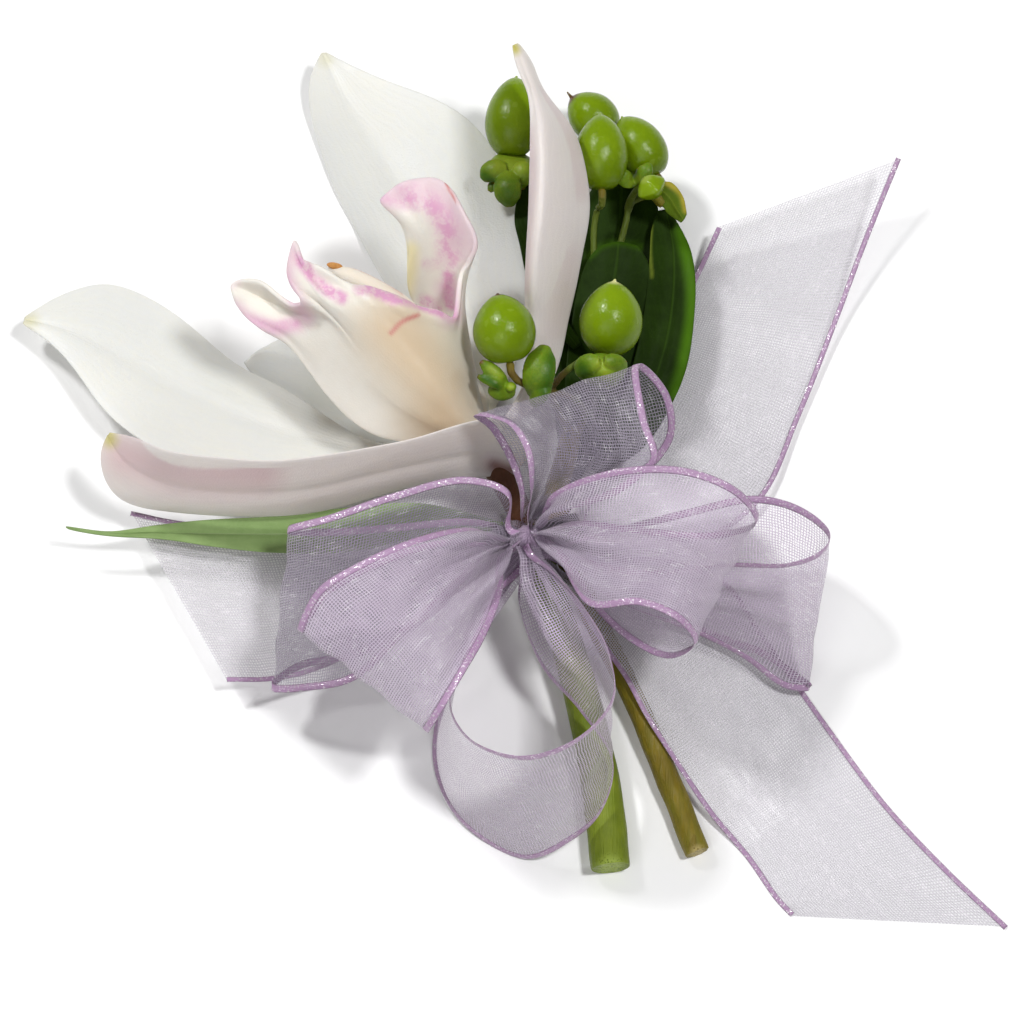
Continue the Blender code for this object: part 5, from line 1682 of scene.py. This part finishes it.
def tucked(edge, both_ends):
    """An edge of a ribbon led on into the knot."""
    middle = table_point(*KNOT)
    points = trace(edge)
    for place, at_end in ((points[0], False), (points[-1], True)):
        inner = place.lerp(Vector((middle.x, middle.y, place.z)), 0.6)
        if not at_end:
            points.insert(0, inner)
        elif both_ends:
            points.append(inner)
    return points


def ribbon_lines(name, count):
    """The two edges of a ribbon at matching places, and its length."""
    both_ends = name.startswith("bow_loop")
    first, second = [tucked(edge, both_ends) for edge in RIBBONS[name]]
    middle = [(here + there) / 2 for here, there in zip(first, second)]
    amounts, length = even_amounts(middle, count)
    return ([smooth(first, amount) for amount in amounts],
            [smooth(second, amount) for amount in amounts], length)


def ribbon_rows(name, seed):
    """Rows of places over a ribbon that is gathered at the knot, and the ribbon's length."""
    along, across = RIBBON_GRID
    starts, ends, length = ribbon_lines(name, along)
    gathers = bpy.context.scene.corsage_sizes.gathers
    rows = [[start.lerp(end, row / across) for start, end in zip(starts, ends)]
            for row in range(across + 1)]
    facing = row_normals(rows)
    both_ends = name.startswith("bow_loop")
    for c in range(along + 1):
        width = (ends[c] - starts[c]).length
        spare = math.sqrt(max(RIBBON_WIDTH ** 2 - width ** 2, 0)) / (4 * gathers)
        from_knot = c / along * length
        if both_ends:
            from_knot = min(from_knot, length - from_knot)
        hold = ease(0.030, 0.004, from_knot)
        calm = 0.25 if both_ends else 0.08
        depth = min(spare * (calm + (1 - calm) * hold) * 0.8, MOST_GATHER)
        for r in range(across + 1):
            share = r / across
            drift = noise.noise(Vector((share * 2.2, c / along * 3, seed))) * 0.9
            wave = math.sin(math.tau * gathers * share + drift * 3)
            wave += 0.4 * math.sin(math.tau * gathers * 0.43 * share + seed + drift * 2)
            crumple = noise.noise(Vector((share * 5, c / along * 14, seed + 3.7))) * 0.00035
            inside = math.sin(math.pi * share) ** 0.5 if 0 < share < 1 else 0
            offset = depth * wave * (0.35 + 0.65 * inside) + crumple * inside * (1 - hold)
            rows[r][c] = rows[r][c] + facing[r][c] * offset
    return rows, length


def cloth(name, rows, width, length, closed=False):
    """A sheet of cloth through rows of places, with a map of its own in metres."""
    shape = bmesh.new()
    sheet_map = shape.loops.layers.uv.new("UVMap")
    points = [[shape.verts.new(place) for place in row] for row in rows]
    last_row, last_column = len(rows) - 1, len(rows[0]) - 1
    for r in range(last_row):
        for c in range(last_column):
            corners = ((r, c), (r, c + 1), (r + 1, c + 1), (r + 1, c))
            face = shape.faces.new([points[i][k] for i, k in corners])
            face.smooth = True
            for loop, (i, k) in zip(face.loops, corners):
                loop[sheet_map].uv = (i / last_row * width, k / last_column * length)
    mesh = bpy.data.meshes.new(name)
    shape.to_mesh(mesh)
    shape.free()
    item = bpy.data.objects.new(name, mesh)
    bpy.context.scene.collection.objects.link(item)
    return item


def edge_band(name, rows, width, length):
    """The two wired bands of a ribbon: flat cords laid along its two edges."""
    bands = []
    half, thick = width / 2, 0.00008
    for edge, inner in ((0, 1), (-1, -2)):
        edge_line, inner_line = rows[edge], rows[inner]
        loop_rows = [[] for _ in range(9)]
        last = len(edge_line) - 1
        for c, place in enumerate(edge_line):
            ahead = edge_line[min(c + 1, last)] - edge_line[max(c - 1, 0)]
            inward = inner_line[c] - place
            inward = (inward - ahead * inward.dot(ahead) / ahead.length_squared).normalized()
            up = ahead.cross(inward).normalized()
            centre = place + inward * half * 0.6
            for turn in range(9):
                angle = math.tau * turn / 8
                loop_rows[turn].append(centre + inward * math.cos(angle) * half
                                       + up * math.sin(angle) * thick)
        bands.append(loop_rows)
    pieces = []
    for loop_rows in bands:
        item = cloth(name, loop_rows, 0.003, length)
        close_tube(item)
        pieces.append(item)
    return joined(name, pieces)


def close_tube(item):
    """Sew up a rolled sheet along its seam and close its two ends."""
    clear_choice()
    item.select_set(True)
    bpy.context.view_layer.objects.active = item
    bpy.ops.object.mode_set(mode="EDIT")
    bpy.ops.mesh.select_all(action="SELECT")
    bpy.ops.mesh.remove_doubles(threshold=0.000002)
    bpy.ops.mesh.select_all(action="DESELECT")
    bpy.ops.mesh.select_mode(type="EDGE")
    bpy.ops.mesh.select_non_manifold()
    bpy.ops.mesh.edge_face_add()
    bpy.ops.mesh.select_all(action="SELECT")
    bpy.ops.mesh.normals_make_consistent(inside=False)
    bpy.ops.object.mode_set(mode="OBJECT")


def tie_ribbon(name, seed, held, organza, band):
    """One ribbon of the bow with its wired bands."""
    rows, length = ribbon_rows(name, seed)
    rows = lifted(rows, 0.00020)
    item = cloth(name + "_organza", rows, RIBBON_WIDTH, length)
    band_width = bpy.context.scene.corsage_sizes.band_width * (0.7 if held == "laid" else 1)
    bands = edge_band(name + "_bands", rows, band_width, length)
    stand_for(item, name, slot="organza", materials=[organza])
    stand_for(bands, slot="organza", materials=[band])


class CORSAGE_OT_bow(bpy.types.Operator):
    """Model the bow's loops and tails of sheer ribbon, with their wired bands"""
    bl_idname = "corsage.bow"
    bl_label = "Bow"

    def execute(self, context):
        band = band_material()
        colour = tuple(context.scene.corsage_colours.ribbon)
        # Three copies of one ribbon: the second, with darker threads and a more open weave, is painted shade for
        # the top and left-back loops, which face away from the light; the third, paler and greyer, is for the
        # tails
        dense = organza_material("lilac_organza", colour, 0.32, 0.76, 0.4)
        shaded_organza = organza_material("shaded_open_organza", seen(170, 160, 178), 0.28, 0.58, 0.4)
        pale = organza_material("pale_organza", seen(220, 217, 223), 0.38, 0.7, 0.06)
        for order, name in enumerate(RIBBONS):
            loop = name.startswith("bow_loop")
            sheer = name in ("bow_loop_top", "bow_loop_left_back")
            organza = shaded_organza if sheer else dense if loop else pale
            tie_ribbon(name, order * 3.7, "gathered" if loop else "laid", organza, band)
        return {"FINISHED"}


class CORSAGE_OT_tie(bpy.types.Operator):
    """Model the bow's gathered middle and the tape round the stems, and dress the frame's binding wire"""
    bl_idname = "corsage.tie"
    bl_label = "Tie"

    def execute(self, context):
        stand_for(knot(), "bow_knot", slot="organza", materials=[knot_material()])
        stand_for(tape(), "stem_tape", slot="tape", materials=[crepe_material()])
        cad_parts["binding_wire"].data.materials.clear()
        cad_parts["binding_wire"].data.materials.append(wire_material())
        return {"FINISHED"}


def knot():
    """The ribbon's gathered middle: a pinched bundle of uneven folds."""
    place = table_point(*KNOT)
    size = [radius * 2 for radius in KNOT_RADII]
    item, spots = ball("bow_knot_gathers", place, size, (0, 0, 0), 72, 30)
    places = []
    for spot in spots:
        angle = math.atan2(spot.y, spot.x)
        fold = 0.16 * noise.noise(Vector((math.cos(angle) * 2.6, math.sin(angle) * 2.6,
                                          spot.z * 0.5)))
        fold += 0.05 * math.sin(angle * 13 + spot.z * 1.5)
        wide = 0.9 + fold
        places.append(place + Vector((spot.x * wide * KNOT_RADII[0], spot.y * wide * KNOT_RADII[1],
                                      spot.z * KNOT_RADII[2] * (1 + fold * 0.4))))
    pull_points(item, places)
    settle(item)
    round_off(item, 1)
    return item


def knot_material():
    """The gathered ribbon, many layers deep: darker than the loops, partly from its layers and partly painted
    shade in its folds.
    """
    material, tree, shader = begin_material("gathered_organza")
    colours = bpy.context.scene.corsage_colours
    vector, _, _ = map_of(tree)
    place = place_on(tree)
    threads = effect(tree, "weave", map=place, spacing=0.0004, thread=0.5)
    patches = effect(tree, "mottle", place=place, scale=420.0, contrast=0.2)
    fabric = tint(tree, number(tree, "MULTIPLY", patches["Patch"], 0.5), seen(170, 148, 174),
                  seen(140, 116, 146))
    fabric = tint(tree, number(tree, "MULTIPLY", threads["Cover"], 0.35), fabric,
                  seen(196, 174, 200))
    dress(tree, shader, fabric, spread_values(tree, patches["Patch"], 0.35, 0.5),
          threads["Height"], 0.00006, Sheen_Weight=0.3)
    return material


def tape():
    """Florist's tape: an open sleeve of flattened oval section round both stems."""
    points = trace(TAPE_PATH)
    along = (points[-1] - points[0]).normalized()
    side = along.cross(Vector((0, 0, 1))).normalized()
    up = side.cross(along)
    line = spread(points, 18)
    rows = []
    for turn in range(49):
        angle = math.tau * turn / 48
        row = []
        for step, place in enumerate(line):
            lap = 0.00008 * math.sin(step * 1.9 + angle)
            row.append(place + side * math.cos(angle) * (TAPE_HALF_WIDTH + lap)
                       + up * math.sin(angle) * (TAPE_HALF_HEIGHT + lap))
        rows.append(row)
    item = cloth("stem_tape_wraps", rows, 1.0, 1.0)
    clear_choice()
    item.select_set(True)
    bpy.context.view_layer.objects.active = item
    bpy.ops.object.mode_set(mode="EDIT")
    bpy.ops.mesh.select_all(action="SELECT")
    bpy.ops.mesh.remove_doubles(threshold=0.000002)
    bpy.ops.object.mode_set(mode="OBJECT")
    finish_with(item, "SOLIDIFY", thickness=0.0004, offset=0)
    bpy.ops.object.shade_smooth()
    return item


class CORSAGE_OT_stage(bpy.types.Operator):
    """Set the pale floor, the soft lights and the camera"""
    bl_idname = "corsage.stage"
    bl_label = "Stage"

    def execute(self, context):
        clear_choice()
        bpy.ops.mesh.primitive_plane_add(size=6, location=(0, 0, 0))
        floor = name_piece("pale_floor")
        material, tree, shader = begin_material("pale_floor")
        patches = effect(tree, "mottle", place=place_on(tree), scale=40.0, contrast=0.3)
        colour = tint(tree, number(tree, "MULTIPLY", patches["Patch"], 0.4), seen(252, 252, 252),
                      seen(249, 249, 250))
        dress(tree, shader, colour, spread_values(tree, patches["Patch"], 0.7, 0.85),
              Specular_IOR_Level=0.1)
        floor.data.materials.append(material)
        add_softbox("right_softbox", (0.42, -0.08, 1.12), 0.15, 7.4)
        add_softbox("left_softbox", (-0.54, 0.48, 0.98), 0.15, 7.0)
        add_softbox("front_softbox", (-0.35, -0.85, 0.95), 0.9, 4.4)
        set_world()
        set_camera()
        return {"FINISHED"}


def add_softbox(name, place, size, power):
    """A square soft light aimed at the corsage."""
    bpy.ops.object.light_add(type="AREA", location=place)
    light = bpy.context.object
    light.name = name
    light.data.size = size
    light.data.energy = power
    aim = Vector((0, 0, 0.01)) - Vector(place)
    light.rotation_euler = aim.to_track_quat("-Z", "Y").to_euler()


def set_world():
    """An even white surround."""
    world = bpy.data.worlds.new("white_surround")
    bpy.context.scene.world = world
    world.use_nodes = True
    background = world.node_tree.nodes["Background"]
    background.inputs["Color"].default_value = (1, 1, 1, 1)
    background.inputs["Strength"].default_value = 0.14
    bpy.context.scene.view_settings.view_transform = "Standard"


def set_camera():
    """The camera at the picture's place and angle."""
    rise = Vector((0, -math.cos(VIEW_RISE), math.sin(VIEW_RISE)))
    target = Vector((-MIDDLE_X, -MIDDLE_Y, VIEW_HEIGHT))
    bpy.ops.object.camera_add(location=target + rise * VIEW_DISTANCE)
    camera = bpy.context.object
    camera.name = "picture_camera"
    camera.rotation_euler = (-rise).to_track_quat("-Z", "Y").to_euler()
    camera.data.sensor_width = SENSOR
    camera.data.lens = SENSOR * VIEW_DISTANCE / PICTURE_UNIT / PICTURE_SIZE
    camera.data.clip_start = 0.01
    bpy.context.scene.camera = camera


class CORSAGE_PT_panel(bpy.types.Panel):
    """Lists the pieces of the corsage"""
    bl_label = "Corsage"
    bl_idname = "CORSAGE_PT_panel"
    bl_space_type = "VIEW_3D"
    bl_region_type = "UI"
    bl_category = "Corsage"

    def draw(self, context):
        for operator in OPERATORS:
            self.layout.operator(operator.bl_idname)
        for group in (context.scene.corsage_sizes, context.scene.corsage_colours):
            for name in group.bl_rna.properties.keys():
                if name not in ("rna_type", "name"):
                    self.layout.prop(group, name)


OPERATORS = (CORSAGE_OT_stage, CORSAGE_OT_petals, CORSAGE_OT_lip, CORSAGE_OT_column,
             CORSAGE_OT_orchid_stem, CORSAGE_OT_berry_sprig_stem, CORSAGE_OT_berries,
             CORSAGE_OT_calyxes, CORSAGE_OT_leaves, CORSAGE_OT_bow, CORSAGE_OT_tie)
CLASSES = (CorsageSizes, CorsageColours, *OPERATORS, CORSAGE_PT_panel)


def register():
    for item in CLASSES:
        bpy.utils.register_class(item)
    bpy.types.Scene.corsage_sizes = PointerProperty(type=CorsageSizes)
    bpy.types.Scene.corsage_colours = PointerProperty(type=CorsageColours)


def unregister():
    del bpy.types.Scene.corsage_colours
    del bpy.types.Scene.corsage_sizes
    for item in reversed(CLASSES):
        bpy.utils.unregister_class(item)


def main():
    register()
    for operator in OPERATORS:
        group, name = operator.bl_idname.split(".")
        getattr(getattr(bpy.ops, group), name)()


if __name__ == "__main__":
    main()
